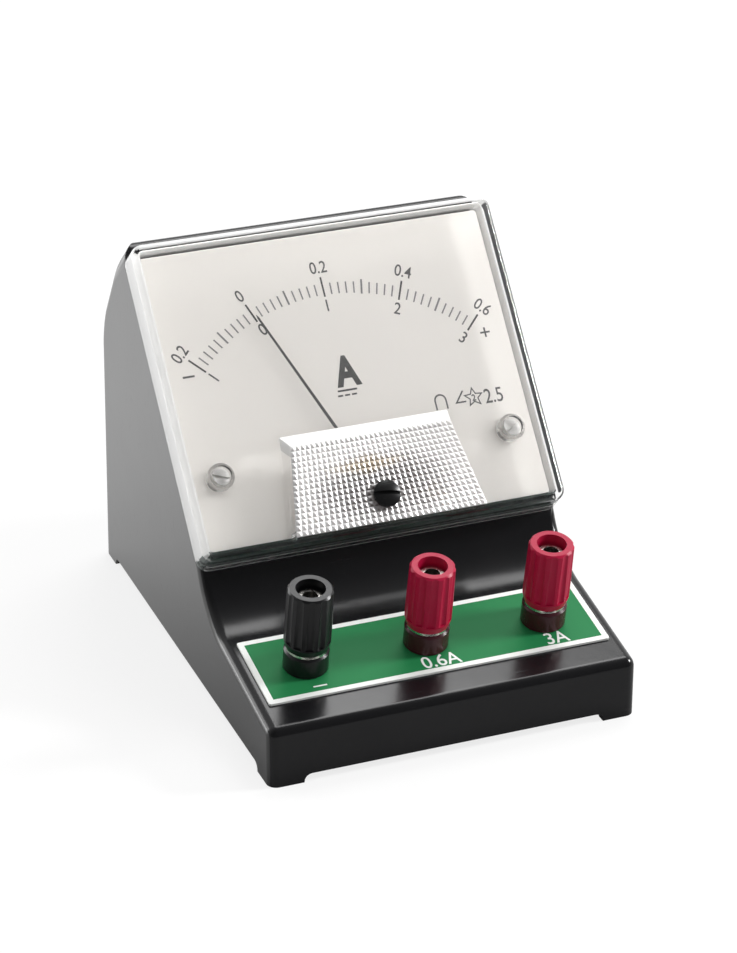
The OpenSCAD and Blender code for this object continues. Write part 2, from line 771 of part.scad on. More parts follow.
module bridge_screws() {
    color(steel) on_pivot() for (x = [-1, 1]) {
        translate([x * bridge_screw_x, 0, plate_z + bridge_t]) rotate([0, 0, 40 * x])
            cheese_screw(small_r - 0.1, small_r + 0.8, 1.1, bridge_t + frame_t - 0.2);
        translate([x * (bridge_screw_x + leg_step), 0, low_foot_z - bridge_t]) rotate([180, 0, 25 * x])
            cheese_screw(small_r - 0.1, small_r + 0.8, 1.1, bridge_t + 3.5);
    }
}

pivot_r = 0.3;
upper_tip = 4.4;
lower_tip = low_bridge_z + 0.6;

jewel_cup = 0.9; // length of a pivot that runs in its jewel screw
jewel_nut_h = 0.7;

// Screw whose drilled end is the bearing of a pivot; its slotted end looks outwards
module jewel_screw(inner_z, outer_z) {
    difference() {
        translate([0, 0, inner_z]) cylinder(r = jewel_r, h = outer_z - inner_z);
        translate([0, 0, inner_z - 1]) cylinder(r = pivot_r + 0.04, h = jewel_cup + 1.1);
        translate([-2, -0.2, outer_z - 0.5]) cube([4, 0.4, 1]);
    }
}

module upper_jewel_screw() {
    color(brass) on_pivot() jewel_screw(upper_tip - jewel_cup, lever_z + lever_t + jewel_nut_h + 0.35);
}

// Its slotted end is flush with its nut
module lower_jewel_screw() {
    color(brass) on_pivot() mirror([0, 0, 1])
        jewel_screw(-lower_tip - jewel_cup, bridge_t + jewel_nut_h - low_bridge_z);
}

module jewel_nuts() {
    across = 2 * jewel_r + 1.1;
    color(brass) on_pivot() {
        translate([0, 0, lever_z + lever_t + 0.03]) hex_nut(across, jewel_nut_h, jewel_r);
        translate([0, 0, low_bridge_z - bridge_t - jewel_nut_h]) hex_nut(across + 0.8, jewel_nut_h, jewel_r);
    }
}

module hex_nut(across, h, r) {
    difference() {
        cylinder(d = across / cos(30), h = h, $fn = 6);
        translate([0, 0, -1]) cylinder(r = r, h = h + 2);
    }
}

low_spring_z = coil_bottom - low_spring_drop;

// Fixed lug on the lower bridge that holds the lower hairspring
module lower_spring_lug() {
    color(brass) on_pivot() {
        box([-1.2, 1.6, low_bridge_z], [1.2, spring_r + 0.9, low_bridge_z + 0.4]);
        box([-0.6, spring_r + 0.06, low_bridge_z], [0.6, spring_r + 0.5, low_spring_z + spring_t]);
    }
}

module pointer_stops() {
    color(brass) on_pivot() for (x = [-1, 1])
        translate([x * stop_r * sin(stop_angle), stop_r * cos(stop_angle), seat_z])
            cylinder(r = stop_pin_r, h = pointer_z + pointer_t + 1 - seat_z);
}

// ---- Movement: the parts that swing ---------------------------------------

inner_r = core_r + coil_clear;
inner_top = core_top + 0.5;
inner_bottom = core_top - core_h - 0.5;

// A closed frame round the core, from in_r to out_r and over both of its ends
module coil_loop(in_r, out_r, width, low, high) {
    step = out_r - in_r;
    difference() {
        box([-out_r, -width / 2, low - step], [out_r, width / 2, high + step]);
        box([-in_r, -width, low], [in_r, width, high]);
    }
}

module coil_former() {
    color(aluminium) on_coil() coil_loop(inner_r, inner_r + former_t, coil_w, inner_bottom, inner_top);
}

module coil_winding() {
    color(copper) on_coil()
        coil_loop(inner_r + former_t, coil_r, coil_w - 0.4, inner_bottom - former_t, inner_top + former_t);
}

hub_r = 1.4;
hub_top = spring_z + spring_t + 0.1;

module upper_pivot() {
    color(brass) on_coil() {
        translate([0, 0, coil_top]) cylinder(r = hub_r, h = hub_top - coil_top);
        translate([0, 0, hub_top - eps]) cylinder(r = pivot_r, h = upper_tip - hub_top + eps);
    }
}

module lower_pivot() {
    low = low_spring_z - 0.3;
    color(brass) on_coil() {
        translate([0, 0, low]) cylinder(r = hub_r, h = coil_bottom - low);
        translate([0, 0, lower_tip]) cylinder(r = pivot_r, h = low - lower_tip + eps);
    }
}

pointer_z = 1.9;
pointer_t = 0.3;
arm_r = 7.4;
pointer_tail = 9.6;

// Stamped blade with a hub, a tail and two side arms for the weights
module pointer() {
    tip_w = pointer_w * 0.5;
    color(black) on_coil() translate([0, 0, pointer_z]) linear_extrude(pointer_t) difference() {
        union() {
            circle(2.5);
            polygon([
                [-pointer_w / 2, 0], [pointer_w / 2, 0], [tip_w / 2, pointer_r - 1],
                [0, pointer_r], [-tip_w / 2, pointer_r - 1]
            ]);
            translate([-0.35, -pointer_tail]) square([0.7, pointer_tail]);
            translate([-arm_r, -0.35]) square([2 * arm_r, 0.7]);
        }
        circle(hub_r);
    }
}

// Sleeves on the tail and the side arms
module balance_weights() {
    color(brass) on_coil() translate([0, 0, pointer_z + pointer_t / 2]) {
        translate([0, -pointer_tail + 0.2, 0]) rotate([-90, 0, 0]) weight(1.05, 3.2);
        for (side = [-1, 1]) rotate([0, 0, side * 90]) translate([0, -arm_r + 0.2, 0])
            rotate([-90, 0, 0]) weight(0.8, 1.6);
    }
}

// Short sleeve along Z with a flat passage for the arm
module weight(r, length) {
    difference() {
        cylinder(r = r, h = length);
        translate([-0.35, -pointer_t / 2, -1]) cube([0.7, pointer_t, length + 2]);
    }
}

// ---- Hairsprings ----------------------------------------------------------

// Flat spiral of even pitch from r_in to r_out, ending on +Y
module spiral(r_in, r_out, turns, thick, h) {
    steps = 20 * turns;
    radius = function(i) r_in + (r_out - r_in) * i / steps;
    angle = function(i) 90 - 360 * turns + 360 * turns * i / steps;
    edge = function(i, side) (radius(i) + side * thick / 2) * [cos(angle(i)), sin(angle(i))];
    linear_extrude(h) polygon(concat(
        [for (i = [0 : steps]) edge(i, 1)],
        [for (i = [0 : steps]) edge(steps - i, -1)]
    ));
}

module upper_hairspring() {
    color(nickel) on_pivot() translate([0, 0, spring_z])
        spiral(hub_r + 0.22, spring_r, 4, 0.12, spring_t);
}

module lower_hairspring() {
    color(nickel) on_pivot() translate([0, 0, low_spring_z])
        spiral(hub_r + 0.22, spring_r, 4, 0.12, spring_t);
}

// ---- Binding posts --------------------------------------------------------

spigot_r = 3.4;
stud_r = stud_d / 2;
shoulder_h = 0.8;
shoulder_top = collar_h + shoulder_h;
insert_h = 8;
insert_r = stud_r + 1.25;
cap_r = cap_d / 2;
cap_top = shoulder_top + cap_l;
stud_top = cap_top - 2.5;
cap_mouth_r = stud_r + 0.8;
washer_h = 1.5;
washer_r = stud_r + 2.05;
lug_h = 0.5;
nut_h = stud_d / 2;
nut_across = 1.5 * stud_d;
deck_under = -label_t - wall; // inside face of the deck, below the label plate's top

module collar() {
    difference() {
        union() {
            rotate_extrude() polygon([
                [0, 0], [collar_d / 2 - 0.3, 0], [collar_d / 2, 0.3], [collar_d / 2, collar_h - 0.6],
                [collar_d / 2 - 0.6, collar_h], [0, collar_h]
            ]);
            translate([0, 0, -label_t - 1.6]) cylinder(r = spigot_r, h = label_t + 1.6 + eps);
        }
        translate([0, 0, -5]) cylinder(r = stud_r + eps, h = collar_h + 6);
    }
}

module stud() {
    length_below = -deck_under + washer_h + lug_h + nut_h + 2;
    difference() {
        union() {
            translate([0, 0, -length_below]) cylinder(r = stud_r, h = stud_top + length_below);
            translate([0, 0, collar_h]) cylinder(r = collar_d / 2 - 0.5, h = shoulder_h);
        }
        translate([0, 0, stud_top - socket_depth]) cylinder(d = socket_d, h = socket_depth + 1);
        // hole for a bare wire, just above the shoulder
        translate([-5, 0, shoulder_top + 1.4]) rotate([0, 90, 0]) cylinder(r = 1, h = 10);
    }
}

module cap_insert() {
    translate([0, 0, shoulder_top + eps]) tube(insert_r, stud_r + running, insert_h);
}

// Moulded cap: shallow flutes, a chamfered skirt and an open top
module cap() {
    flute_r = cap_r * PI / flutes * 1.1;
    difference() {
        translate([0, 0, shoulder_top + eps]) rotate_extrude() polygon([
            [0, 0], [collar_d / 2 - 0.3, 0], [cap_r, 1.8], [cap_r, cap_l * 0.35],
            [cap_r * 0.97, cap_l - 0.5], [cap_r * 0.97 - 0.5, cap_l], [0, cap_l]
        ]);
        for (i = [0 : flutes - 1]) rotate([0, 0, 360 * (i + 0.5) / flutes])
            translate([cap_r + flute_r * 0.72, 0, shoulder_top + 2.2]) cylinder(r = flute_r, h = cap_l, $fn = 24);
        translate([0, 0, shoulder_top - 1]) cylinder(r = insert_r + running, h = insert_h + 1.1);
        translate([0, 0, shoulder_top]) cylinder(r = cap_mouth_r, h = cap_l + 1);
    }
}

module collar_left() { color(black) on_post(-1) collar(); }
module collar_middle() { color(red) on_post(0) collar(); }
module collar_right() { color(red) on_post(1) collar(); }
module stud_left() { color(nickel) on_post(-1) stud(); }
module stud_middle() { color(nickel) on_post(0) stud(); }
module stud_right() { color(nickel) on_post(1) stud(); }
module insert_left() { color(brass) on_post(-1) cap_insert(); }
module insert_middle() { color(brass) on_post(0) cap_insert(); }
module insert_right() { color(brass) on_post(1) cap_insert(); }
module cap_left() { color(black) on_post(-1) cap(); }
module cap_middle() { color(red) on_post(0) cap(); }
module cap_right() { color(red) on_post(1) cap(); }

module label_plate() {
    color(green) on_deck() difference() {
        translate([-label_w / 2, label_front, 0]) cube([label_w, label_l, label_t]);
        for (side = [-1, 0, 1])
            translate([side * post_pitch, post_y, -1]) cylinder(r = spigot_r + easy / 2, h = label_t + 2);
    }
}

// ---- Under the deck -------------------------------------------------------

module post_washers() {
    color(black) for (side = [-1, 0, 1]) on_post(side)
        translate([0, 0, deck_under - washer_h]) tube(washer_r, stud_r + easy / 2, washer_h);
}

lug_z = deck_under - washer_h - lug_h;
tail_y = 9; // the lugs' tails point to the back
tail_r = 1.6;

module solder_lugs() {
    color(nickel) for (side = [-1, 0, 1]) on_post(side) difference() {
        translate([0, 0, lug_z]) linear_extrude(lug_h) union() {
            circle(washer_r - 0.4);
            translate([-tail_r, 0]) square([2 * tail_r, tail_y]);
            translate([0, tail_y]) circle(tail_r);
        }
        translate([0, 0, lug_z - 1]) cylinder(r = stud_r + easy / 2, h = 3);
    }
}

module post_nuts() {
    color(brass) for (side = [-1, 0, 1]) on_post(side)
        translate([0, 0, lug_z - nut_h]) hex_nut(nut_across, nut_h, stud_r);
}

// Flat resistance strip from the middle lug to the right one, for the high range
module shunt_strip() {
    strip_t = 1;
    color(copper) on_deck() translate([0, post_y + tail_y - 1.2, label_t + lug_z - strip_t])
        linear_extrude(strip_t) difference() {
            translate([-tail_r, 0]) square([post_pitch + 2 * tail_r, 2.8]);
            // notch filed out to trim the resistance
            translate([post_pitch * 0.35, 1.9]) square([post_pitch * 0.3, 2]);
        }
}

// Wound resistor from the left lug to the middle one, for the low range
module shunt_coil() {
    turns = 12;
    former_r = 1.9;
    turn_l = (post_pitch - 8) / turns;
    color(copper) on_deck() translate([-post_pitch, post_y + tail_y, label_t + lug_z - former_r])
        rotate([0, 90, 0]) {
            translate([0, 0, -1]) cylinder(r = 0.6, h = post_pitch + 2);
            translate([0, 0, 4]) rotate_extrude() union() {
                square([former_r - 0.4, turns * turn_l]);
                for (i = [0 : turns - 1]) translate([former_r - 0.4, (i + 0.5) * turn_l])
                    circle(turn_l * 0.42, $fn = 16);
            }
        }
}

// ---- Wiring ---------------------------------------------------------------

lead_r = 0.8;

// Tube of 8 sides swept along a list of points
module lead(path) {
    sides = 8;
    n = len(path);
    ring = [
        for (i = [0 : n - 1])
            let (
                way = unit(path[min(i + 1, n - 1)] - path[max(i - 1, 0)]),
                u = unit(cross(way, [1, 0, 0])),
                v = cross(way, u)
            )
            each [for (k = [0 : sides - 1]) path[i] + lead_r * (cos(45 * k) * u + sin(45 * k) * v)]
    ];
    polyhedron(
        points = ring,
        faces = concat(
            [[for (k = [0 : sides - 1]) sides - 1 - k]],
            [for (i = [0 : n - 2], k = [0 : sides - 1]) let (a = i * sides, next = (k + 1) % sides)
                [a + k, a + next, a + sides + next, a + sides + k]],
            [[for (k = [0 : sides - 1]) (n - 1) * sides + k]]
        )
    );
}

// Point on a cubic through four control points
function bezier(p, t) =
    pow(1 - t, 3) * p[0] + 3 * t * pow(1 - t, 2) * p[1] + 3 * t * t * (1 - t) * p[2] + pow(t, 3) * p[3];

// Position in the case's frame of a point given on the window or the deck
function off_window(p) = let (q = window_point(p[1], p[2])) [p[0], q[0] - case_d / 2, q[1]];
function off_deck(p) = [
    p[0],
    p[1] * cos(deck_slope) - p[2] * sin(deck_slope) - case_d / 2,
    front_h + p[1] * sin(deck_slope) + p[2] * cos(deck_slope)
];

// Two insulated leads from the lugs up to the lower bridge and the spring lug
module movement_leads() {
    steps = 16;
    colour = [red, black];
    low_n = low_bridge_z - dial_depth;
    for (i = [0, 1]) {
        side = i == 0 ? 0 : -1;
        start = off_deck([side * post_pitch, post_y + tail_y - 3.2, label_t + lug_z - lead_r]);
        end = off_window([i == 0 ? 3 : -low_leg_x - 1.5, pivot_s + 4, low_n - bridge_t - lead_r - i]);
        path = [for (k = [0 : steps]) bezier([
            start, start + [0, 8, -9], end + [0, 4, -12], end
        ], k / steps)];
        color(colour[i]) lead(path);
    }
}

// ---- Assembly -------------------------------------------------------------

case();
bottom_cover();
bottom_screws();
front_cover();
cover_screws();
label_plate();
zero_adjuster();
zero_lever();
dial_plate();
dial_screws();
movement_plate();
plate_screws();
pole_pieces();
pole_screws();
magnet();
core();
core_support();
upper_bridge();
lower_bridge();
bridge_screws();
upper_jewel_screw();
lower_jewel_screw();
jewel_nuts();
lower_spring_lug();
pointer_stops();
coil_former();
coil_winding();
upper_pivot();
lower_pivot();
pointer();
balance_weights();
upper_hairspring();
lower_hairspring();
collar_left();
collar_middle();
collar_right();
stud_left();
stud_middle();
stud_right();
insert_left();
insert_middle();
insert_right();
cap_left();
cap_middle();
cap_right();
post_washers();
solder_lugs();
post_nuts();
shunt_strip();
shunt_coil();
movement_leads();
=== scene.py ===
"""Looks of a bench ammeter: case, clear cover, dial, movement, label plate and binding posts."""

from __future__ import annotations

import json
import logging
import math
from dataclasses import dataclass
from enum import Enum, IntEnum
from typing import Callable, Iterable, Sequence

import bmesh
import bpy
from mathutils import Matrix, Vector

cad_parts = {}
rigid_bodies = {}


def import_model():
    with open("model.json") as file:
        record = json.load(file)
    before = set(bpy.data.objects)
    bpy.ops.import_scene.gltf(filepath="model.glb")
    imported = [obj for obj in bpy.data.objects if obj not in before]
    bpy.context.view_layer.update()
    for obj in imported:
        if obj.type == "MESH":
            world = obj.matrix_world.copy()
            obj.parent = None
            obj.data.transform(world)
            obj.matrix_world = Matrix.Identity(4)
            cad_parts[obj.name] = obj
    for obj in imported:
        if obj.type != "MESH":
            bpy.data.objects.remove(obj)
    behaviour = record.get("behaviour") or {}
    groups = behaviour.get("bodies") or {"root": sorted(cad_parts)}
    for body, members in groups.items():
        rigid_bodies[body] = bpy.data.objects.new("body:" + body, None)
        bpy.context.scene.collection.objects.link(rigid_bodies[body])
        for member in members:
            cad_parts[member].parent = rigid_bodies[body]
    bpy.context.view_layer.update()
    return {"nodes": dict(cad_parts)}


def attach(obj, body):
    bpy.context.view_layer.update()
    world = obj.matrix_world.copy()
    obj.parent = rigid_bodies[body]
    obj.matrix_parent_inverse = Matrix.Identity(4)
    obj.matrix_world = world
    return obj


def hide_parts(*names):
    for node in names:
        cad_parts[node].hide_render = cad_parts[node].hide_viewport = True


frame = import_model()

BMesh = bmesh.types.BMesh
Pair = tuple[float, float]
Triple = tuple[float, float, float]

log = logging.getLogger("ammeter")

MM = 0.001
TO_MM = 1 / MM
NEAR = 1e-3  # millimetres within which two places are the same

# ---- Sizes that several pieces share, in millimetres ------------------------

CASE_W = 98.0
CASE_D = 134.0
PIVOT_S = 13.55  # pointer's pivot, up the window
ADJUSTER_S = PIVOT_S - 5.2
DIAL_DEPTH = 5.6  # dial's face under the window's
SCREW_X = (-39.8, 39.8)
SCREW_S = 21.3
POST_X = (-32.0, 0.0, 32.0)
POST_Y = 21.0  # posts, up the deck from the front edge
POST_HOLE = 3.5


# ---- Places on the instrument -----------------------------------------------


@dataclass(frozen=True)
class Place:
    """A tilted working plane on the instrument, in millimetres from the case's centre on the table."""

    y: float
    z: float
    tilt: float

    def matrix(self, x: float = 0.0, along: float = 0.0, out: float = 0.0) -> Matrix:
        """Matrix from local millimetres at a point of the plane to metres in the frame.

        Args:
            x: Distance to the right.
            along: Distance up the plane.
            out: Distance square out of the plane.

        Returns:
            The transform, with its scale to metres.
        """
        return (
            Matrix.Scale(MM, 4)
            @ Matrix.Translation((0, self.y, self.z))
            @ Matrix.Rotation(math.radians(self.tilt), 4, "X")
            @ Matrix.Translation((x, along, out))
        )

    def inside(self, x: float = 0.0, along: float = 0.0, out: float = 0.0) -> Matrix:
        """Matrix from local millimetres at a point of the plane to millimetres in the frame."""
        return Matrix.Scale(TO_MM, 4) @ self.matrix(x, along, out)


TABLE = Place(0.0, 0.0, 0.0)
DECK = Place(-CASE_D / 2, 15.8, 10.3)
WINDOW = Place(44.4 - CASE_D / 2, 40.4, 49.0)


def turn_z(degrees: float) -> Matrix:
    """Rotation about the local Z axis."""
    return Matrix.Rotation(math.radians(degrees), 4, "Z")


def shift(x: float = 0.0, y: float = 0.0, z: float = 0.0) -> Matrix:
    """Translation by millimetres in a local frame."""
    return Matrix.Translation((x, y, z))


def stretch(x: float, y: float, z: float = 1.0) -> Matrix:
    """Scale along the three local axes."""
    return Matrix.Diagonal((x, y, z, 1.0))


# ---- Mesh helpers -----------------------------------------------------------


class Joining(Enum):
    """How a second solid changes the first."""

    ADD = "UNION"
    CUT = "DIFFERENCE"
    COMMON = "INTERSECT"


def block(low: Sequence[float], high: Sequence[float]) -> BMesh:
    """Box between two corners, in millimetres.

    Args:
        low: Lowest corner.
        high: Highest corner.

    Returns:
        The new mesh.
    """
    bm = bmesh.new()
    size = [b - a for a, b in zip(low, high)]
    middle = [(a + b) / 2 for a, b in zip(low, high)]
    bmesh.ops.create_cube(bm, size=1.0, matrix=Matrix.Translation(middle) @ stretch(*size))
    return bm


def drum(radius: float, low: float, high: float, sides: int = 48) -> BMesh:
    """Cylinder along Z.

    Args:
        radius: Its radius.
        low: Height of the bottom.
        high: Height of the top.
        sides: Number of sides.

    Returns:
        The new mesh.
    """
    bm = bmesh.new()
    bmesh.ops.create_cone(
        bm, cap_ends=True, segments=sides, radius1=radius, radius2=radius,
        depth=high - low, matrix=shift(z=(low + high) / 2),
    )
    return bm


def moved(bm: BMesh, matrix: Matrix) -> BMesh:
    """The same mesh after a transform."""
    bm.transform(matrix)
    return bm


def round_edges(
    bm: BMesh, edges: Iterable[bmesh.types.BMEdge], radius: float, segments: int = 4
) -> None:
    """Rounds edges to a radius measured along their faces.

    Args:
        bm: Mesh to change.
        edges: Edges to round.
        radius: Setback of the round from each edge.
        segments: Number of strips in the round.
    """
    bmesh.ops.bevel(
        bm, geom=list(edges), offset=radius, offset_type="OFFSET", affect="EDGES",
        segments=segments, profile=0.5, material=-1, clamp_overlap=False,
    )


def edges_where(bm: BMesh, test: Callable[[Vector, Vector], bool]) -> list[bmesh.types.BMEdge]:
    """Edges whose two ends pass a test."""
    return [e for e in bm.edges if test(e.verts[0].co, e.verts[1].co)]


def upright_edges(bm: BMesh, longer_than: float = 1.0) -> list[bmesh.types.BMEdge]:
    """Edges that rise by more than a height."""
    return edges_where(bm, lambda a, b: abs(a.z - b.z) > longer_than)


def linked(name: str, data: bpy.types.ID) -> bpy.types.Object:
    """Adds an object to the scene.

    Args:
        name: Its name.
        data: The mesh, camera, light or curve that it holds.

    Returns:
        The object.
    """
    obj = bpy.data.objects.new(name, data)
    bpy.context.scene.collection.objects.link(obj)
    return obj


def temporary(bm: BMesh, name: str) -> bpy.types.Object:
    """Object that holds a mesh while modifiers work on it.

    Args:
        bm: The mesh, which is freed.
        name: Name of the object.

    Returns:
        The object.
    """
    mesh = bpy.data.meshes.new(name)
    bm.to_mesh(mesh)
    bm.free()
    return linked(name, mesh)


def discard(obj: bpy.types.Object) -> None:
    """Removes a temporary object and its mesh or curve."""
    bpy.data.batch_remove([obj, obj.data])


def finished(obj: bpy.types.Object) -> BMesh:
    """Takes the mesh of a temporary object with its modifiers applied.

    Args:
        obj: The object, which is removed.

    Returns:
        The mesh.
    """
    seen = obj.evaluated_get(bpy.context.evaluated_depsgraph_get())
    bm = bmesh.new()
    bm.from_mesh(seen.to_mesh())
    seen.to_mesh_clear()
    discard(obj)
    return bm


def joined(base: BMesh, tool: BMesh, how: Joining) -> BMesh:
    """Combines two closed meshes in one.

    Args:
        base: Mesh to change.
        tool: Mesh that is added, cut away or intersected with it.
        how: Which of the three.

    Returns:
        The new mesh.
    """
    first, second = temporary(base, "base"), temporary(tool, "tool")
    step = first.modifiers.new("join", "BOOLEAN")
    step.operation, step.solver, step.object = how.value, "MANIFOLD", second
    result = finished(first)
    discard(second)
    return result


def merged(parts: Iterable[BMesh]) -> BMesh:
    """Puts several meshes in one, without joining their surfaces.

    Args:
        parts: The meshes, which are freed.

    Returns:
        The new mesh.
    """
    total = bmesh.new()
    for part in parts:
        held = bpy.data.meshes.new("held")
        part.to_mesh(held)
        part.free()
        total.from_mesh(held)
        bpy.data.meshes.remove(held)
    return total


def place_piece(
    name: str,
    bm: BMesh,
    matrix: Matrix,
    finishes: Sequence[bpy.types.Material],
    body: str = "case",
    replaces: Sequence[str] = (),
    sharp: float = 32.0,
) -> bpy.types.Object:
    """Makes a piece of the instrument from a mesh and hands it to the frame.

    Args:
        name: Name of the piece.
        bm: Its mesh, in local millimetres.
        matrix: Transform to the frame.
        finishes: Its materials, in the order of its faces' indices.
        body: The body it rides on.
        replaces: The solids it stands for.
        sharp: Angle in degrees above which an edge stays sharp.

    Returns:
        The new object.
    """
    bm.transform(matrix)
    if matrix.determinant() < 0:
        bmesh.ops.reverse_faces(bm, faces=bm.faces)
    mesh = bpy.data.meshes.new(name)
    bm.to_mesh(mesh)
    bm.free()
    mesh.shade_smooth()
    mesh.set_sharp_from_angle(angle=math.radians(sharp))
    for finish in finishes:
        mesh.materials.append(finish)
    obj = linked(name, mesh)
    obj.modifiers.new("even_normals", "WEIGHTED_NORMAL").keep_sharp = True
    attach(obj, body)
    if replaces:
        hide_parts(*replaces)
    log.info("%s: %d faces", name, len(mesh.polygons))
    return obj


# ---- Shader helpers ---------------------------------------------------------


class Signal:
    """A socket's value in a node tree, with Python's arithmetic."""

    def __init__(self, tree: Tree, socket: bpy.types.NodeSocket) -> None:
        """Keeps the socket and the tree it belongs to."""
        self.tree = tree
        self.socket = socket

    def _with(self, operation: str, *values: Signal | float) -> Signal:
        """Adds a Math node over these values."""
        return self.tree.add("ShaderNodeMath", {"operation": operation}, dict(enumerate(values)))[0]

    def __add__(self, other: Signal | float) -> Signal:
        """Sum."""
        return self._with("ADD", self, other)

    __radd__ = __add__

    def __sub__(self, other: Signal | float) -> Signal:
        """Difference."""
        return self._with("SUBTRACT", self, other)

    def __rsub__(self, other: float) -> Signal:
        """Difference from a number."""
        return self._with("SUBTRACT", other, self)

    def __mul__(self, other: Signal | float) -> Signal:
        """Product."""
        return self._with("MULTIPLY", self, other)

    __rmul__ = __mul__

    def __truediv__(self, other: Signal | float) -> Signal:
        """Quotient."""
        return self._with("DIVIDE", self, other)

    def above(self, level: float) -> Signal:
        """One where the value is greater than a level, else nought."""
        return self._with("GREATER_THAN", self, level)

    def size(self) -> Signal:
        """Value without its sign."""
        return self._with("ABSOLUTE", self)

    def part(self) -> Signal:
        """What is left over the whole number below."""
        return self._with("FRACT", self)

    def most(self, other: Signal | float) -> Signal:
        """The larger of two values."""
        return self._with("MAXIMUM", self, other)

    def ramp(self, low: float, high: float) -> Signal:
        """Nought below low, one above high, and smooth between.

        Args:
            low: Value at which the result leaves nought.
            high: Value at which it reaches one.

        Returns:
            The new value.
        """
        return self.tree.add(
            "ShaderNodeMapRange", {"interpolation_type": "SMOOTHSTEP"},
            {"Value": self, "From Min": low, "From Max": high},
        )[0]


class Coordinates(IntEnum):
    """Outputs of the Texture Coordinate node."""

    GENERATED = 0
    OBJECT = 3


class Ray(IntEnum):
    """Outputs of the Light Path node."""

    CAMERA = 0
    SHADOW = 1
    GLOSSY = 3
    TRANSMISSION = 6


class MixColour(IntEnum):
    """Sockets of the Mix node for colours."""

    FACTOR = 0
    FIRST = 6
    SECOND = 7
    RESULT = 2


class Tree:
    """Builds the nodes of one material or of the surroundings."""

    def __init__(self, name: str, sky: bool = False) -> None:
        """Starts an empty material or world with an output.

        Args:
            name: Its name.
            sky: Whether it is a world.
        """
        self.owner = (bpy.data.worlds if sky else bpy.data.materials).new(name)
        self.owner.use_nodes = True
        self.nodes = self.owner.node_tree.nodes
        self.links = self.owner.node_tree.links
        self.nodes.clear()
        self.output = self.nodes.new("ShaderNodeOutputWorld" if sky else "ShaderNodeOutputMaterial")

    def add(self, kind: str, settings: dict | None = None, inputs: dict | None = None) -> list[Signal]:
        """Adds a node.

        Args:
            kind: Type name of the node.
            settings: Its own settings; "stops" gives a ramp's positions and colours.
            inputs: Values or signals by socket name or number.

        Returns:
            Its outputs that are in use, in order.
        """
        node = self.nodes.new(kind)
        for key, value in (settings or {}).items():
            if key == "stops":
                ramp = node.color_ramp.elements
                while len(ramp) < len(value):
                    ramp.new(0.5)
                for element, (position, colour) in zip(ramp, value):
                    element.position, element.color = position, colour
            else:
                setattr(node, key, value)
        self.feed(node, inputs or {})
        return [Signal(self, s) for s in node.outputs if s.enabled]

    def feed(self, node: bpy.types.Node, inputs: dict) -> None:
        """Links signals to a node's sockets and sets plain values on them.

        Args:
            node: The node.
            inputs: Values or signals by socket name or number.
        """
        for key, value in inputs.items():
            if isinstance(value, Signal):
                self.links.new(value.socket, node.inputs[key])
            else:
                node.inputs[key].default_value = value

    def position(self) -> Signal:
        """Position on the object, in metres."""
        return self.add("ShaderNodeTexCoord")[Coordinates.OBJECT]

    def axes(self, vector: Signal | None = None) -> list[Signal]:
        """The three parts of a vector, or of the position on the object."""
        return self.add("ShaderNodeSeparateXYZ", {}, {"Vector": vector or self.position()})

    def on_window(self) -> tuple[Signal, Signal, Signal]:
        """Position on the window's plane.

        Returns:
            Millimetres across it, up it and out of it.
        """
        x, y, z = self.axes()
        up, out = (f(math.radians(WINDOW.tilt)) / MM for f in (math.cos, math.sin))
        y, z = y - WINDOW.y * MM, z - WINDOW.z * MM
        return x * TO_MM, y * up + z * out, z * up - y * out

    def stretched(self, scale: Sequence[float], rotation: Sequence[float] = (0.0, 0.0, 0.0)) -> Signal:
        """Position on the object, scaled along each axis and turned."""
        return self.add("ShaderNodeMapping", {}, {"Vector": self.position(), "Rotation": rotation, "Scale": scale})[0]

    def noise(
        self, scale: float, detail: float = 2.0, roughness: float = 0.5, vector: Signal | None = None
    ) -> Signal:
        """Smooth noise on the object.

        Args:
            scale: Repeats in a metre.
            detail: Number of finer layers.
            roughness: Strength of the finer layers.
            vector: Coordinates, or the object's own.

        Returns:
            The noise, between nought and one.
        """
        return self.add(
            "ShaderNodeTexNoise", {},
            {"Vector": vector or self.position(), "Scale": scale, "Detail": detail, "Roughness": roughness},
        )[0]

    def blend(
        self, amount: Signal | float, first: Sequence[float] | Signal, second: Sequence[float] | Signal
    ) -> Signal:
        """Mixes two colours.

        Args:
            amount: Share of the second.
            first: Colour at nought.
            second: Colour at one.

        Returns:
            The mixed colour.
        """
        first, second = (c if isinstance(c, Signal) else (*c, 1.0) for c in (first, second))
        node = self.nodes.new("ShaderNodeMix")
        node.data_type, node.clamp_factor = "RGBA", True
        self.feed(node, {MixColour.FACTOR: amount, MixColour.FIRST: first, MixColour.SECOND: second})
        return Signal(self, node.outputs[MixColour.RESULT])

    def bump(self, height: Signal, strength: float, distance: float) -> Signal:
        """Normal from a height.

        Args:
            height: The height, between nought and one.
            strength: Share of the effect.
            distance: Depth in metres that a height of one stands for.

        Returns:
            The normal.
        """
        return self.add("ShaderNodeBump", {}, {"Strength": strength, "Distance": distance, "Height": height})[0]

    def surface(self, **inputs: object) -> Signal:
        """Principled surface; names use underscores for spaces."""
        return self.add("ShaderNodeBsdfPrincipled", {}, {k.replace("_", " "): v for k, v in inputs.items()})[0]

    def plain(self, kind: str, level: float = 1.0, **inputs: float) -> Signal:
        """Shader of one grey level, white unless given."""
        return self.add(kind, {}, {"Color": (level, level, level, 1.0), **inputs})[0]

    def mixed(self, amount: Signal, first: Signal, second: Signal) -> Signal:
        """Mixes two shaders."""
        return self.add("ShaderNodeMixShader", {}, {0: amount, 1: first, 2: second})[0]

    def done(self, shader: Signal) -> bpy.types.ID:
        """Joins the shader to the output and returns the material or world."""
        self.links.new(shader.socket, self.output.inputs["Surface"])
        return self.owner


# ---- Finishes ---------------------------------------------------------------


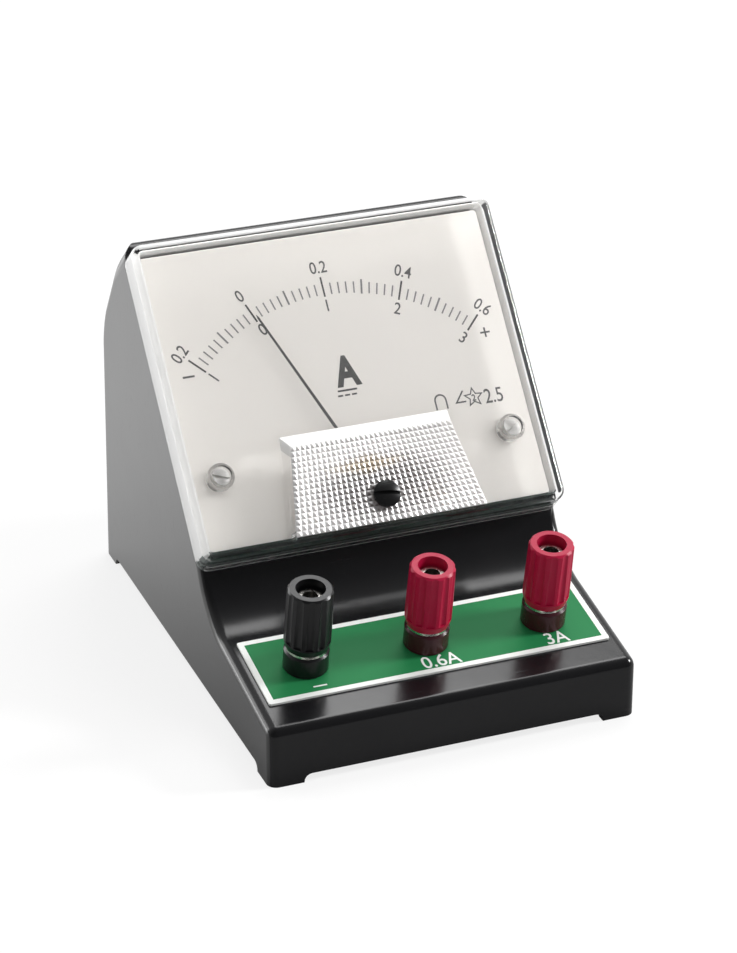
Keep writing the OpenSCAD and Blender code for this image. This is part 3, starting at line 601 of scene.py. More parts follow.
@dataclass(frozen=True)
class PrismGrid:
    """Small pyramids on the face of the window's block, in millimetres on the window."""

    columns: int = 33
    rows: int = 16
    low: float = 1.4
    high: float = 24.8
    half_low: float = 25.9
    half_high: float = 21.8
    peak: float = 0.3


PRISMS = PrismGrid()


@dataclass(frozen=True)
class Moulding:
    """Hard moulded plastic with a faint ripple, dust and handling marks, satin past a distance to the sides."""

    name: str
    colour: Triple
    gloss: float = 0.2
    ripple: float = 0.00004
    dust: float = 0.12
    index: float = 1.4
    satin_beyond: float = 1.0

    def material(self) -> bpy.types.Material:
        """Builds the finish.

        Returns:
            The material.
        """
        tree = Tree(self.name)
        broad = tree.noise(60.0, 3.0)
        grain = tree.noise(1400.0, 2.0)
        specks = tree.noise(2600.0, 3.0, 0.7).ramp(0.68, 0.76)
        streaks = tree.stretched((1.0, 14.0, 3.0), (0.3, 0.5, 0.9))
        rubs = tree.noise(90.0, 4.0, 0.65, streaks).ramp(0.56, 0.8)
        pale = [min(1.0, c * 0.5 + 0.22) for c in self.colour]
        worn = [c * 0.9 + 0.004 for c in self.colour]
        colour = tree.blend(broad, self.colour, worn)
        colour = tree.blend(specks * self.dust * broad, colour, pale)
        satin = tree.axes()[0].size().above(self.satin_beyond)
        rough = self.gloss + broad * 0.05 + rubs * 0.1 + specks * 0.2 + satin * 0.18
        height = tree.noise(260.0, 2.0) * 0.8 + grain * 0.12
        return tree.done(
            tree.surface(
                Base_Color=colour, Roughness=rough, Normal=tree.bump(height, 0.5, self.ripple), IOR=self.index,
                Coat_Weight=satin, Coat_Roughness=0.3,
            )
        )


@dataclass(frozen=True)
class Metal:
    """Turned, rolled or plated metal with fine tool marks and a little tarnish."""

    name: str
    colour: Triple
    tarnish: Triple
    roughness: float = 0.25
    grain: Triple = (1.0, 1.0, 1.0)

    def material(self) -> bpy.types.Material:
        """Builds the finish.

        Returns:
            The material.
        """
        tree = Tree(self.name)
        marks = tree.noise(5000.0, 2.0, 0.6, tree.stretched(self.grain))
        stain = tree.noise(400.0, 4.0, 0.6).ramp(0.45, 0.8)
        rough = self.roughness + marks * 0.12 + stain * 0.15
        return tree.done(
            tree.surface(
                Base_Color=tree.blend(stain * 0.6, self.colour, self.tarnish), Metallic=1.0,
                Roughness=rough, Normal=tree.bump(marks, 0.25, 0.00002),
            )
        )


@dataclass(frozen=True)
class Sheet:
    """Painted or printed sheet with a fine tooth and slight unevenness."""

    name: str
    colour: Triple
    shade: Triple
    roughness: float = 0.5
    tooth: float = 0.00001
    index: float = 1.45

    def material(self) -> bpy.types.Material:
        """Builds the finish.

        Returns:
            The material.
        """
        tree = Tree(self.name)
        cloud = tree.noise(45.0, 3.0, 0.55)
        fine = tree.noise(3800.0, 2.0)
        rough = self.roughness + cloud * 0.08
        return tree.done(
            tree.surface(
                Base_Color=tree.blend(cloud * 0.7 + fine * 0.15, self.colour, self.shade),
                Roughness=rough, Normal=tree.bump(fine, 0.3, self.tooth), IOR=self.index,
            )
        )


@dataclass(frozen=True)
class ClearPlastic:
    """Clear moulded plastic, whose shadow lets through `shade` of the light square on and `slanted` at an angle."""

    name: str
    tint: Triple = (0.99, 0.985, 0.975)
    roughness: float = 0.01
    shade: float = 0.9
    clear: float = 1.0
    slanted: float = 0.22
    index: float = 1.49

    def colour(self, tree: Tree) -> Signal | tuple[float, ...]:
        """Colour of the plastic."""
        return (*self.tint, 1.0)

    def material(self) -> bpy.types.Material:
        """Builds the finish.

        Returns:
            The material.
        """
        tree = Tree(self.name)
        flow = tree.noise(38.0, 2.0)
        scuff = tree.noise(1900.0, 3.0, 0.6).ramp(0.62, 0.8)
        body = tree.surface(
            Base_Color=self.colour(tree), Roughness=self.roughness + scuff * 0.03, IOR=self.index,
            Transmission_Weight=self.clear, Normal=tree.bump(flow, 0.12, 0.0002),
        )
        veil, edge = (tree.plain("ShaderNodeBsdfTransparent", share) for share in (self.shade, self.slanted))
        slant = tree.add("ShaderNodeFresnel", {}, {"IOR": self.index})[0]
        cast = tree.mixed(slant.ramp(0.08, 0.32), veil, edge)
        return tree.done(tree.mixed(tree.add("ShaderNodeLightPath")[Ray.SHADOW], body, cast))


@dataclass(frozen=True)
class PrismFace(ClearPlastic):
    """Clear plastic cut into small pyramids, with painted shade over the movement and on their lower sides, and a
    painted warm gleam.
    """

    grid: PrismGrid = PRISMS
    # colour of the painted shade, over the movement and on the pyramids' lower sides
    shaded: Triple = (0.12, 0.1, 0.098)
    # colour of the painted warm gleam
    warm: Triple = (0.66, 0.5, 0.28)
    # where the painted shade over the movement lies, how far it reaches and how strong it is
    movement_at: Pair = (0.0, 10.5)
    movement_reach: Pair = (20.0, 9.5)
    movement_shade_share: float = 0.74
    # where the painted gleam lies, how fast it fades and how strong it is
    gleam_at: Pair = (-3.0, 17.0)
    gleam_fall: Pair = (0.07, 0.28)
    gleam_share: float = 0.6
    # strength of the painted shade on a pyramid's lower side, and what it gains over the movement
    facet_shade_share: float = 0.34
    facet_shade_over_movement: float = 0.5

    def lower_sides(self, across: Signal, along: Signal) -> Signal:
        """One on the lower side of every pyramid, nought on the other three.

        Args:
            across: Millimetres across the window.
            along: Millimetres up the window.

        Returns:
            The mask.
        """
        grid = self.grid
        rise = (along - grid.low) / (grid.high - grid.low)
        half = rise * (grid.half_high - grid.half_low) + grid.half_low
        column = ((across / half + 1.0) * (grid.columns / 2)).part()
        return (0.5 - (rise * grid.rows).part() - (column - 0.5).size()).ramp(-0.14, 0.16)

    def colour(self, tree: Tree) -> Signal:
        """Pale plastic with painted shade over the movement and on the lower side of every pyramid, and a painted
        warm gleam.

        Args:
            tree: The material's nodes.

        Returns:
            The colour.
        """
        across, along, _ = tree.on_window()
        wide, high = (
            (way - at) / reach
            for way, at, reach in zip((across, along), self.movement_at, self.movement_reach)
        )
        # painted shade where the movement lies behind the block
        over = 1.0 - (wide * wide + high * high + tree.noise(150.0, 2.0) * 0.5).ramp(0.2, 1.5)
        away = [
            (way - at).size() * fall for way, at, fall in zip((across, along), self.gleam_at, self.gleam_fall)
        ]
        # painted warm gleam
        gleam = 1.0 - (away[0] + away[1]).ramp(0.2, 1.1)
        grey = tree.blend(over * self.movement_shade_share, self.tint, self.shaded)
        pale = tree.blend(gleam * self.gleam_share, grey, self.warm)
        # painted shade on the lower side of every pyramid
        facet_shade = self.lower_sides(across, along) * (over * self.facet_shade_over_movement + self.facet_shade_share)
        return tree.blend(facet_shade, pale, self.shaded)


@dataclass(frozen=True)
class Wound:
    """Close turns of enamelled wire."""

    name: str
    colour: Triple
    axis: Triple

    def material(self) -> bpy.types.Material:
        """Builds the finish.

        Returns:
            The material.
        """
        tree = Tree(self.name)
        turns = tree.add(
            "ShaderNodeTexWave", {"wave_type": "BANDS", "bands_direction": "X"},
            {"Vector": tree.stretched(self.axis), "Scale": 1.0, "Distortion": 0.4},
        )[1]
        dark = [c * 0.35 for c in self.colour]
        return tree.done(
            tree.surface(
                Base_Color=tree.blend(turns, dark, self.colour), Metallic=0.7, Roughness=0.35,
                Normal=tree.bump(turns, 0.6, 0.00005),
            )
        )


@dataclass(frozen=True)
class Ink:
    """Flat printing ink, a little uneven."""

    name: str
    colour: Triple
    roughness: float = 0.5

    def material(self) -> bpy.types.Material:
        """Builds the finish.

        Returns:
            The material.
        """
        tree = Tree(self.name)
        wear = tree.noise(900.0, 3.0)
        pale = [c + (1.0 - c) * 0.12 for c in self.colour]
        return tree.done(
            tree.surface(
                Base_Color=tree.blend(wear * 0.5, self.colour, pale), Roughness=self.roughness + wear * 0.1
            )
        )


class Finishes:
    """All materials of the instrument, built once."""

    def __init__(self) -> None:
        """Builds every finish."""
        self.case = Moulding("case_black", (0.006, 0.006, 0.007), 0.17, dust=0.12, satin_beyond=0.0485).material()
        self.sheet_black = Moulding("base_black", (0.02, 0.02, 0.021), 0.45).material()
        self.knob = Moulding("knob_black", (0.007, 0.007, 0.0075), 0.24, dust=0.1).material()
        self.post_black = Moulding("post_black", (0.006, 0.006, 0.007), 0.26, dust=0.15).material()
        self.post_red = Moulding("post_red", (0.45, 0.004, 0.045), 0.3, dust=0.08, index=1.32).material()
        self.clear = ClearPlastic("clear_plastic").material()
        # block's face: painted shade over the movement and on the pyramids' lower sides, and a painted gleam
        self.clear_block = PrismFace("clear_block", (0.92, 0.905, 0.9), 0.14, 0.4, 0.35).material()
        # white look of the clear walls, edges and beads: painted light
        self.painted_light_edge = ClearPlastic("painted_light_edge", (0.97, 0.97, 0.965), 0.2, clear=0.3, slanted=0.75).material()
        # dark tint on the cover's bottom wall and the block's lower side: painted shade
        self.painted_shade_edge = ClearPlastic("painted_shade_edge", (0.1, 0.13, 0.12), 0.15, clear=0.5).material()
        # near-opaque grey on the right wall's outside: a painted shade line
        self.painted_shade_line = ClearPlastic("painted_shade_line", (0.09, 0.09, 0.095), 0.5, clear=0.05).material()
        self.dial = Sheet("dial_white", (0.79, 0.768, 0.742), (0.755, 0.732, 0.705), 0.42).material()
        # darker copy of the caps' red on the collars: painted shade
        self.post_red_shaded = Moulding("post_red_shaded", (0.05, 0.008, 0.014), 0.22, dust=0.1).material()
        self.green = Sheet("label_green", (0.022, 0.22, 0.075), (0.018, 0.195, 0.065), 0.42, index=1.2).material()
        self.white_print = Sheet("print_white", (0.9, 0.91, 0.89), (0.86, 0.88, 0.85), 0.4).material()
        self.ink = Ink("print_black", (0.012, 0.012, 0.013)).material()
        self.ink_thin = Ink("print_dark_grey", (0.04, 0.04, 0.042)).material()
        self.ink_grey = Ink("print_grey", (0.16, 0.16, 0.165)).material()
        self.pointer = Sheet("pointer_black", (0.04, 0.04, 0.042), (0.055, 0.055, 0.055), 0.4).material()
        self.steel = Metal("steel", (0.56, 0.56, 0.57), (0.3, 0.28, 0.26), 0.28).material()
        self.nickel = Metal("nickel", (0.72, 0.7, 0.66), (0.42, 0.38, 0.32), 0.16).material()
        self.bright_screw = Metal("bright_screw", (0.9, 0.89, 0.87), (0.7, 0.69, 0.66), 0.42).material()
        self.brass = Metal("brass", (0.78, 0.57, 0.26), (0.42, 0.28, 0.12), 0.22).material()
        self.aluminium = Metal("aluminium", (0.82, 0.82, 0.83), (0.6, 0.6, 0.6), 0.34, (1.0, 9.0, 9.0)).material()
        self.iron = Metal("soft_iron", (0.16, 0.16, 0.17), (0.09, 0.07, 0.06), 0.4).material()
        self.magnet = Metal("magnet_alloy", (0.11, 0.11, 0.12), (0.05, 0.045, 0.04), 0.5).material()
        self.copper = Wound("copper_wire", (0.62, 0.24, 0.1), (0.0, 0.0, 2600.0)).material()
        self.manganin = Wound("shunt_wire", (0.42, 0.28, 0.17), (1300.0, 0.0, 0.0)).material()
        self.rubber = Moulding("lead_insulation", (0.09, 0.02, 0.022), 0.5).material()


# Solids by the finish each is given
SOLIDS: dict[str, tuple[str, ...]] = {
    "sheet_black": ("bottom_cover", "post_washers"),
    "steel": ("bottom_screws", "plate_screws", "pole_screws", "bridge_screws"),
    "bright_screw": ("cover_screws",),
    "knob": ("zero_adjuster",),
    "brass": (
        "zero_lever", "dial_screws", "core_support", "upper_bridge", "lower_bridge", "upper_jewel_screw",
        "lower_jewel_screw", "jewel_nuts", "lower_spring_lug", "pointer_stops", "upper_pivot", "lower_pivot",
        "balance_weights", "insert_left", "insert_middle", "insert_right", "post_nuts",
    ),
    "dial": ("dial_plate",),
    "aluminium": ("movement_plate", "coil_former"),
    "iron": ("pole_pieces", "core"),
    "magnet": ("magnet",),
    "copper": ("coil_winding",),
    "pointer": ("pointer",),
    "nickel": (
        "upper_hairspring", "lower_hairspring", "stud_left", "stud_middle", "stud_right", "solder_lugs",
    ),
    "post_black": ("collar_left", "cap_left"),
    # collars take a darker copy of the caps' red: painted shade
    "post_red_shaded": ("collar_middle", "collar_right"),
    "post_red": ("cap_middle", "cap_right"),
    "manganin": ("shunt_strip", "shunt_coil"),
    "rubber": ("movement_leads",),
    "case": ("case",),
    "clear": ("front_cover",),
    "green": ("label_plate",),
}


def dress_solids(finishes: Finishes) -> None:
    """Gives every solid of the frame its finish.

    Args:
        finishes: The instrument's materials.
    """
    finish_of = {node: finish for finish, nodes in SOLIDS.items() for node in nodes}
    for name, obj in frame["nodes"].items():
        material = getattr(finishes, finish_of[name])
        for place in obj.material_slots:
            place.material = material
        log.info("%s: %s", name, material.name)


# ---- Case -------------------------------------------------------------------


@dataclass
class Case:
    """One-piece moulded case on four feet, in millimetres from its front face; heights are local to each plane."""

    wall: float = 2.5
    lean: float = 3.0
    foot_high: float = 2.2
    foot_long: float = 9.0
    foot_round: float = 2.0
    corner: float = 2.6
    seat_corner: float = 0.15  # share of the corner's round beside the cover
    upper_corner: float = 7.0
    radii: tuple[float, ...] = (0.0, 0.0, 24.0, 2.8, 0.0, 20.0, 2.8)  # at the outline's corners, in order
    large_radius: float = 10.0  # above it a round gets more strips
    ramp_angle: float = 62.0
    cover_depth: float = 8.5
    seat: Pair = (-0.8, 89.3)
    top_draft: float = 6.5
    top_drop: float = 24.5
    run_out: float = 5.0  # how far the cavity's form reaches below the table
    arch_out: float = 9.0  # how far the arches' forms do
    least_round: float = 0.5
    play: float = 0.02
    opening: tuple[tuple[float, ...], ...] = ((-18.2, 5.0, -16.0), (18.2, 41.0, -6.0))
    post_hole: Pair = (-6.0, 3.0)
    boss: Triple = (4.0, -14.0, -6.2)  # radius, bottom and top, as every drum's three sizes

    def window_point(self, along: float, out: float) -> Vector:
        """Point of the side outline given on the window's plane."""
        c, s = math.cos(math.radians(WINDOW.tilt)), math.sin(math.radians(WINDOW.tilt))
        return Vector((WINDOW.y + CASE_D / 2 + along * c - out * s, WINDOW.z + along * s + out * c))

    def outline(self) -> list[Vector]:
        """Side outline.

        Returns:
            Its corners, counter-clockwise from the front foot.
        """
        low, high = (self.window_point(along, -self.cover_depth) for along in self.seat)
        below = self.window_point(self.seat[1] - self.top_draft, -self.cover_depth - self.top_drop)
        way = (below - high).normalized()
        lean = math.tan(math.radians(self.lean))
        reach = (CASE_D - high.y * lean - high.x) / (way.x + way.y * lean)
        m, k = math.tan(math.radians(self.ramp_angle)), math.tan(math.radians(DECK.tilt))
        foot = (m * low.x - low.y + DECK.z) / (m - k)
        return [
            Vector((0.0, 0.0)), Vector((CASE_D, 0.0)), high + way * reach, high, low,
            Vector((foot, DECK.z + k * foot)), Vector((0.0, DECK.z)),
        ]

    def form(self, inset: float) -> BMesh:
        """Side outline drawn across the case, with the rounds that run across it.

        Args:
            inset: Distance inside the outer form; the cavity's form runs out below the feet.

        Returns:
            The new closed mesh.
        """
        bm = bmesh.new()
        half = CASE_W / 2 - inset
        side = bm.faces.new([bm.verts.new((-half, p.x - CASE_D / 2, p.y)) for p in self.outline()])
        if inset:
            side.normal_update()
            rim = bmesh.ops.inset_individual(bm, faces=[side], thickness=inset, use_even_offset=True)["faces"]
            bmesh.ops.delete(bm, geom=rim, context="FACES")
        corners = [v.co.copy() for v in side.verts]
        if inset:
            for v in side.verts:
                if v.co.z < 2 * inset:
                    v.co.z = -self.run_out
        across = bmesh.ops.extrude_face_region(bm, geom=[side])
        bmesh.ops.translate(
            bm, verts=[v for v in across["geom"] if isinstance(v, bmesh.types.BMVert)], vec=(2 * half, 0, 0)
        )
        bmesh.ops.recalc_face_normals(bm, faces=bm.faces)
        for i, radius in enumerate(self.radii):
            if radius == 0.0:
                continue
            here, last, after = corners[i], corners[i - 1], corners[(i + 1) % len(corners)]
            turn = (here - last).angle(after - here)
            hollow = (here - last).cross(after - here).x < 0
            run = [e for e in bm.edges if all((v.co.yz - here.yz).length < NEAR for v in e.verts)]
            reach = max(radius + (inset if hollow else -inset), self.least_round)
            round_edges(bm, run, reach * math.tan(turn / 2), 16 if radius > self.large_radius else 6)
        return bm

    def shell(self) -> BMesh:
        """Outer form with all its rounds, hollowed out from below.

        Returns:
            The new mesh.
        """
        bm = self.form(0.0)
        weight = bm.edges.layers.float.new("bevel_weight_edge")
        for e in bm.edges:
            a, b = e.verts[0].co, e.verts[1].co
            if abs(a.x - b.x) > NEAR or max(a.z, b.z) < NEAR:
                continue
            e[weight] = self.seat_corner if self.is_seat(a) and self.is_seat(b) else 1.0
        obj = temporary(bm, "case_form")
        rounds = obj.modifiers.new("rounds", "BEVEL")
        rounds.limit_method, rounds.width, rounds.segments = "WEIGHT", self.corner, 6
        rounds.use_clamp_overlap = False
        bm = joined(finished(obj), self.window_end(0.0), Joining.COMMON)
        return joined(bm, joined(self.form(self.wall), self.window_end(self.wall), Joining.COMMON), Joining.CUT)

    def window_end(self, inset: float) -> BMesh:
        """Form that rounds the two upper corners square to the window.

        Args:
            inset: Distance inside the outer form.

        Returns:
            The new closed mesh.
        """
        half = CASE_W / 2 - inset + self.play
        bm = block((-half, -2 * CASE_D, -2 * CASE_D), (half, self.seat[1] - inset, 2 * CASE_D))
        upper = edges_where(bm, lambda a, b: abs(a.z - b.z) > 1 and min(a.y, b.y) > 0)
        round_edges(bm, upper, self.upper_corner - inset, 12)
        return moved(bm, WINDOW.inside())

    def is_seat(self, p: Vector) -> bool:
        """Whether a point lies on the sloping panel."""
        local = WINDOW.matrix().inverted() @ (p * MM)
        return abs(local.z + self.cover_depth) < 0.05

    def arches(self) -> list[BMesh]:
        """Forms cut away between the feet.

        Returns:
            One that runs from front to back and one from side to side.
        """
        made = []
        for x, y, along in (
            (CASE_W / 2 - self.foot_long, CASE_D, 1),
            (CASE_W, CASE_D / 2 - self.foot_long, 0),
        ):
            tool = block((-x, -y, -self.arch_out), (x, y, self.foot_high))
            top = edges_where(tool, lambda a, b: min(a.z, b.z) > 0 and abs(a[along] - b[along]) > 1)
            round_edges(tool, top, self.foot_round, 5)
            made.append(tool)
        return made

    def build(self, finishes: Finishes) -> None:
        """Makes the case and cuts its feet, its opening and its holes.

        Args:
            finishes: The instrument's materials.
        """
        bm = self.shell()
        opening = moved(block(*self.opening), WINDOW.inside())
        holes = [moved(drum(POST_HOLE, *self.post_hole), DECK.inside(x, POST_Y)) for x in POST_X]
        for tool in (*self.arches(), opening, *holes):
            bm = joined(bm, tool, Joining.CUT)
        bosses = [moved(drum(*self.boss), WINDOW.inside(x, SCREW_S)) for x in SCREW_X]
        place_piece(
            "case_moulding", merged([bm, *bosses]), TABLE.matrix(), [finishes.case],
            replaces=["case"], sharp=25.0,
        )


# ---- Clear cover ------------------------------------------------------------


class CoverZone(IntEnum):
    """Parts of the cover that are finished apart, numbered as its materials are."""

    CLEAR = 0
    BLOCK = 1
    # clear walls, rounded edges and beads painted white with light
    PAINTED_LIGHT = 2
    # bottom wall and the block's lower side painted dark with shade
    PAINTED_SHADE = 3
    # right wall painted with a dark line of shade
    PAINTED_SHADE_LINE = 4


@dataclass
class ClearCover:
    """Clear window cover with a patterned block over the movement, in millimetres on the window."""

    width: float = 98.8
    length: float = 84.5
    depth: float = 8.5
    wall: float = 1.9
    top_wall: float = 1.4
    corner: float = 3.0
    edge: float = 1.5
    inner_corner: float = 1.4
    inner_edge: float = 0.8
    overlap: float = 0.3  # how far the block's hollow starts inside the cover's
    block_high: float = 3.5
    block_wall: float = 1.8
    prisms: PrismGrid = PRISMS
    foot_s: float = 29.3
    foot: Pair = (26.1, 23.3)  # half width of the block's foot, below and above
    beads: tuple[Triple, ...] = ((0.6, -8.5, -7.6), (0.3, -6.1, -5.2))
    spout: Triple = (3.5, -DIAL_DEPTH, -1.0)
    screw_holes: tuple[Triple, ...] = ((2.6, -3.4, 3.0), (1.65, -9.0, 1.0))
    stem_hole: Triple = (2.06, -4.0, 8.0)
    hole_sides: int = 40
    lying: float = 0.85  # least rise of the normal of a face that lies along the window
    raised: float = 0.05  # height above which a face belongs to the block
    # the right wall's outer faces carry the painted shade line
    rounded: float = 0.62  # share of the edge's round that goes with the right wall
    slack: float = 0.3  # how far a face's middle may lie off the wall it belongs to
    top_slack: float = 0.9
    crown_slack: float = 0.5

    def shell(self) -> BMesh:
        """Hollow cover without its block.

        Returns:
            The new mesh.
        """
        half = self.width / 2
        bm = block((-half, 0, -self.depth), (half, self.length, 0))
        round_edges(bm, upright_edges(bm), self.corner, 6)
        round_edges(bm, edges_where(bm, lambda a, b: min(a.z, b.z) > -NEAR), self.edge, 5)
        for out, low, high in self.beads:
            bead = block((-half, -out, low), (half, self.length / 2, high))
            round_edges(bead, edges_where(bead, lambda a, b: abs(a.z - b.z) > 0.3 and a.y < 0), self.corner, 6)
            bm = joined(bm, bead, Joining.ADD)
        inner = block(
            (-half + self.wall, self.wall, -self.depth - 1),
            (half - self.wall, self.length - self.top_wall, -self.wall),
        )
        round_edges(inner, upright_edges(inner), self.inner_corner, 4)
        round_edges(inner, edges_where(inner, lambda a, b: min(a.z, b.z) > -self.wall - NEAR), self.inner_edge, 3)
        return joined(bm, inner, Joining.CUT)

    def wedge(self, inset: float, low: float, base: float, pattern: bool) -> BMesh:
        """Block over the movement, or its hollow.

        Args:
            inset: Distance inside the outer form.
            low: Lower edge, up the window.
            base: Height of its foot over the window's face.
            pattern: Whether its face is cut into small pyramids.

        Returns:
            The new closed mesh.
        """
        columns, rows = (self.prisms.columns, self.prisms.rows) if pattern else (1, 1)
        crown = (self.prisms.half_low, self.prisms.half_high)
        bm = bmesh.new()
        bmesh.ops.create_grid(bm, x_segments=columns, y_segments=rows, size=1.0)
        top = self.block_high - inset
        grid = list(bm.faces)
        rim = [e for e in bm.edges if e.is_boundary]
        grown = bmesh.ops.extrude_edge_only(bm, edges=rim)
        low_ring = {v for v in grown["geom"] if isinstance(v, bmesh.types.BMVert)}
        for v in bm.verts:
            t = (v.co.y + 1) / 2
            at_foot = v in low_ring
            ends = self.foot if at_foot else crown
            half = ends[0] + (ends[1] - ends[0]) * t - inset
            high = (self.foot_s if at_foot else self.prisms.high) - inset
            v.co = Vector((v.co.x * half, low + (high - low) * t, base if at_foot else top))
        bmesh.ops.edgeloop_fill(bm, edges=[e for e in bm.edges if e.is_boundary])
        if pattern:
            bmesh.ops.poke(bm, faces=grid, offset=self.prisms.peak, center_mode="MEAN")
        bmesh.ops.recalc_face_normals(bm, faces=bm.faces)
        return bm

    def build(self, finishes: Finishes) -> None:
        """Makes the cover with its screw tubes and holes.

        Args:
            finishes: The instrument's materials.
        """
        low, inset = self.prisms.low, self.block_wall
        bm = joined(self.shell(), self.wedge(0.0, low, -self.wall / 2, True), Joining.ADD)
        bm = joined(bm, self.wedge(inset, low + inset, -self.wall - self.overlap, False), Joining.CUT)
        for x in SCREW_X:
            bm = joined(bm, moved(drum(*self.spout), shift(x, SCREW_S)), Joining.ADD)
            for hole in self.screw_holes:
                bm = joined(bm, moved(drum(*hole, self.hole_sides), shift(x, SCREW_S)), Joining.CUT)
        stem = moved(drum(*self.stem_hole, self.hole_sides), shift(0, ADJUSTER_S))
        bm = joined(bm, stem, Joining.CUT)
        for f in bm.faces:
            f.material_index = self.zone(f)
        place_piece(
            "window_cover", bm, WINDOW.matrix(),
            [finishes.clear, finishes.clear_block, finishes.painted_light_edge, finishes.painted_shade_edge, finishes.painted_shade_line],
            replaces=["front_cover"], sharp=20.0,
        )

    def zone(self, face: bmesh.types.BMFace) -> CoverZone:
        """Which part of the cover a face belongs to.

        Args:
            face: The face.

        Returns:
            The part.
        """
        mid = face.calc_center_median()
        upright = abs(face.normal.z) < self.lying
        side = self.width / 2
        if mid.z > self.raised:
            return self.block_zone(mid, upright)
        # painted light on the top edge and on the beads
        if mid.y > self.length - self.edge or mid.y < -NEAR:
            return CoverZone.PAINTED_LIGHT
        # painted shade line along the right wall
        if mid.x > side - self.edge * self.rounded and mid.z < -self.slack:
            return CoverZone.PAINTED_SHADE_LINE
        if mid.z > -self.wall or not upright:
            return CoverZone.CLEAR
        # painted shade on the bottom wall
        if mid.y < self.wall + self.slack:
            return CoverZone.PAINTED_SHADE
        # painted light on the side and top walls
        if abs(mid.x) > side - self.wall - self.slack or mid.y > self.length - self.top_wall - self.top_slack:
            return CoverZone.PAINTED_LIGHT
        return CoverZone.CLEAR

    def block_zone(self, mid: Vector, upright: bool) -> CoverZone:
        """Which part of the cover a face of the block belongs to.

        Args:
            mid: Middle of the face.
            upright: Whether it stands on the window rather than lies along it.

        Returns:
            The part.
        """
        # painted shade on the block's lower side
        if mid.y < self.prisms.low + 0.1:
            return CoverZone.PAINTED_SHADE
        # painted light on the block's top bevel
        if upright and mid.y > self.prisms.high - self.crown_slack:
            return CoverZone.PAINTED_LIGHT
        if upright and abs(mid.x) > self.prisms.half_high - self.crown_slack:
            return CoverZone.CLEAR
        return CoverZone.BLOCK


# ---- Printing ---------------------------------------------------------------

FONT_SIZE = 10.0
CAPITAL = 7.0  # height of a capital at that size


def lettering(words: str, high: float, wide: float = 1.0, thick: float = 0.0) -> BMesh:
    """Flat letters centred on the origin.

    Args:
        words: What is written.
        high: Height of a capital, in millimetres.
        wide: Stretch across.
        thick: Extra weight of the strokes, in millimetres.

    Returns:
        The new mesh, flat at height nought.
    """
    scale = high / CAPITAL
    curve = bpy.data.curves.new("letters", "FONT")
    curve.body, curve.align_x, curve.align_y = words, "CENTER", "CENTER"
    curve.size, curve.offset, curve.resolution_u = FONT_SIZE, thick / scale, 6
    bm = finished(linked("letters", curve))
    xs, ys = ([v.co[axis] for v in bm.verts] for axis in (0, 1))
    middle = Vector(((min(xs) + max(xs)) / 2, (min(ys) + max(ys)) / 2, 0))
    return moved(bm, stretch(scale * wide, scale) @ Matrix.Translation(-middle))


def bar(length: float, width: float) -> BMesh:
    """Flat bar along Y, centred on the origin.

    Args:
        length: Its length.
        width: Its width.

    Returns:
        The new mesh.
    """
    bm = bmesh.new()
    bmesh.ops.create_grid(bm, x_segments=1, y_segments=1, size=0.5, matrix=stretch(width, length))
    return bm


def ribbon(points: Sequence[Pair], width: float, closed: bool = False) -> BMesh:
    """Flat line of even width along a row of points, with mitred bends.

    Args:
        points: The row of points.
        width: Width of the line.
        closed: Whether it returns to its first point.

    Returns:
        The new mesh, flat at height nought.
    """
    row = [Vector((*p, 0.0)) for p in points]
    bm = bmesh.new()
    sides = []
    for i, here in enumerate(row):
        before = row[i - 1] if closed or i else None
        after = row[(i + 1) % len(row)] if closed or i + 1 < len(row) else None
        ways = [w.normalized() for w in (here - before if before else None, after - here if after else None) if w]
        squares = [Vector((-w.y, w.x, 0.0)) for w in ways]
        mitre = sum(squares, Vector()).normalized()
        reach = width / 2 / max(mitre.dot(squares[0]), 0.3)
        sides.append((bm.verts.new(here + mitre * reach), bm.verts.new(here - mitre * reach)))
    for one, other in zip(sides, sides[1:] + (sides[:1] if closed else [])):
        bm.faces.new((one[0], one[1], other[1], other[0]))
    bmesh.ops.recalc_face_normals(bm, faces=bm.faces)
    if bm.faces and next(iter(bm.faces)).normal.z < 0:
        bmesh.ops.reverse_faces(bm, faces=bm.faces)
    return bm


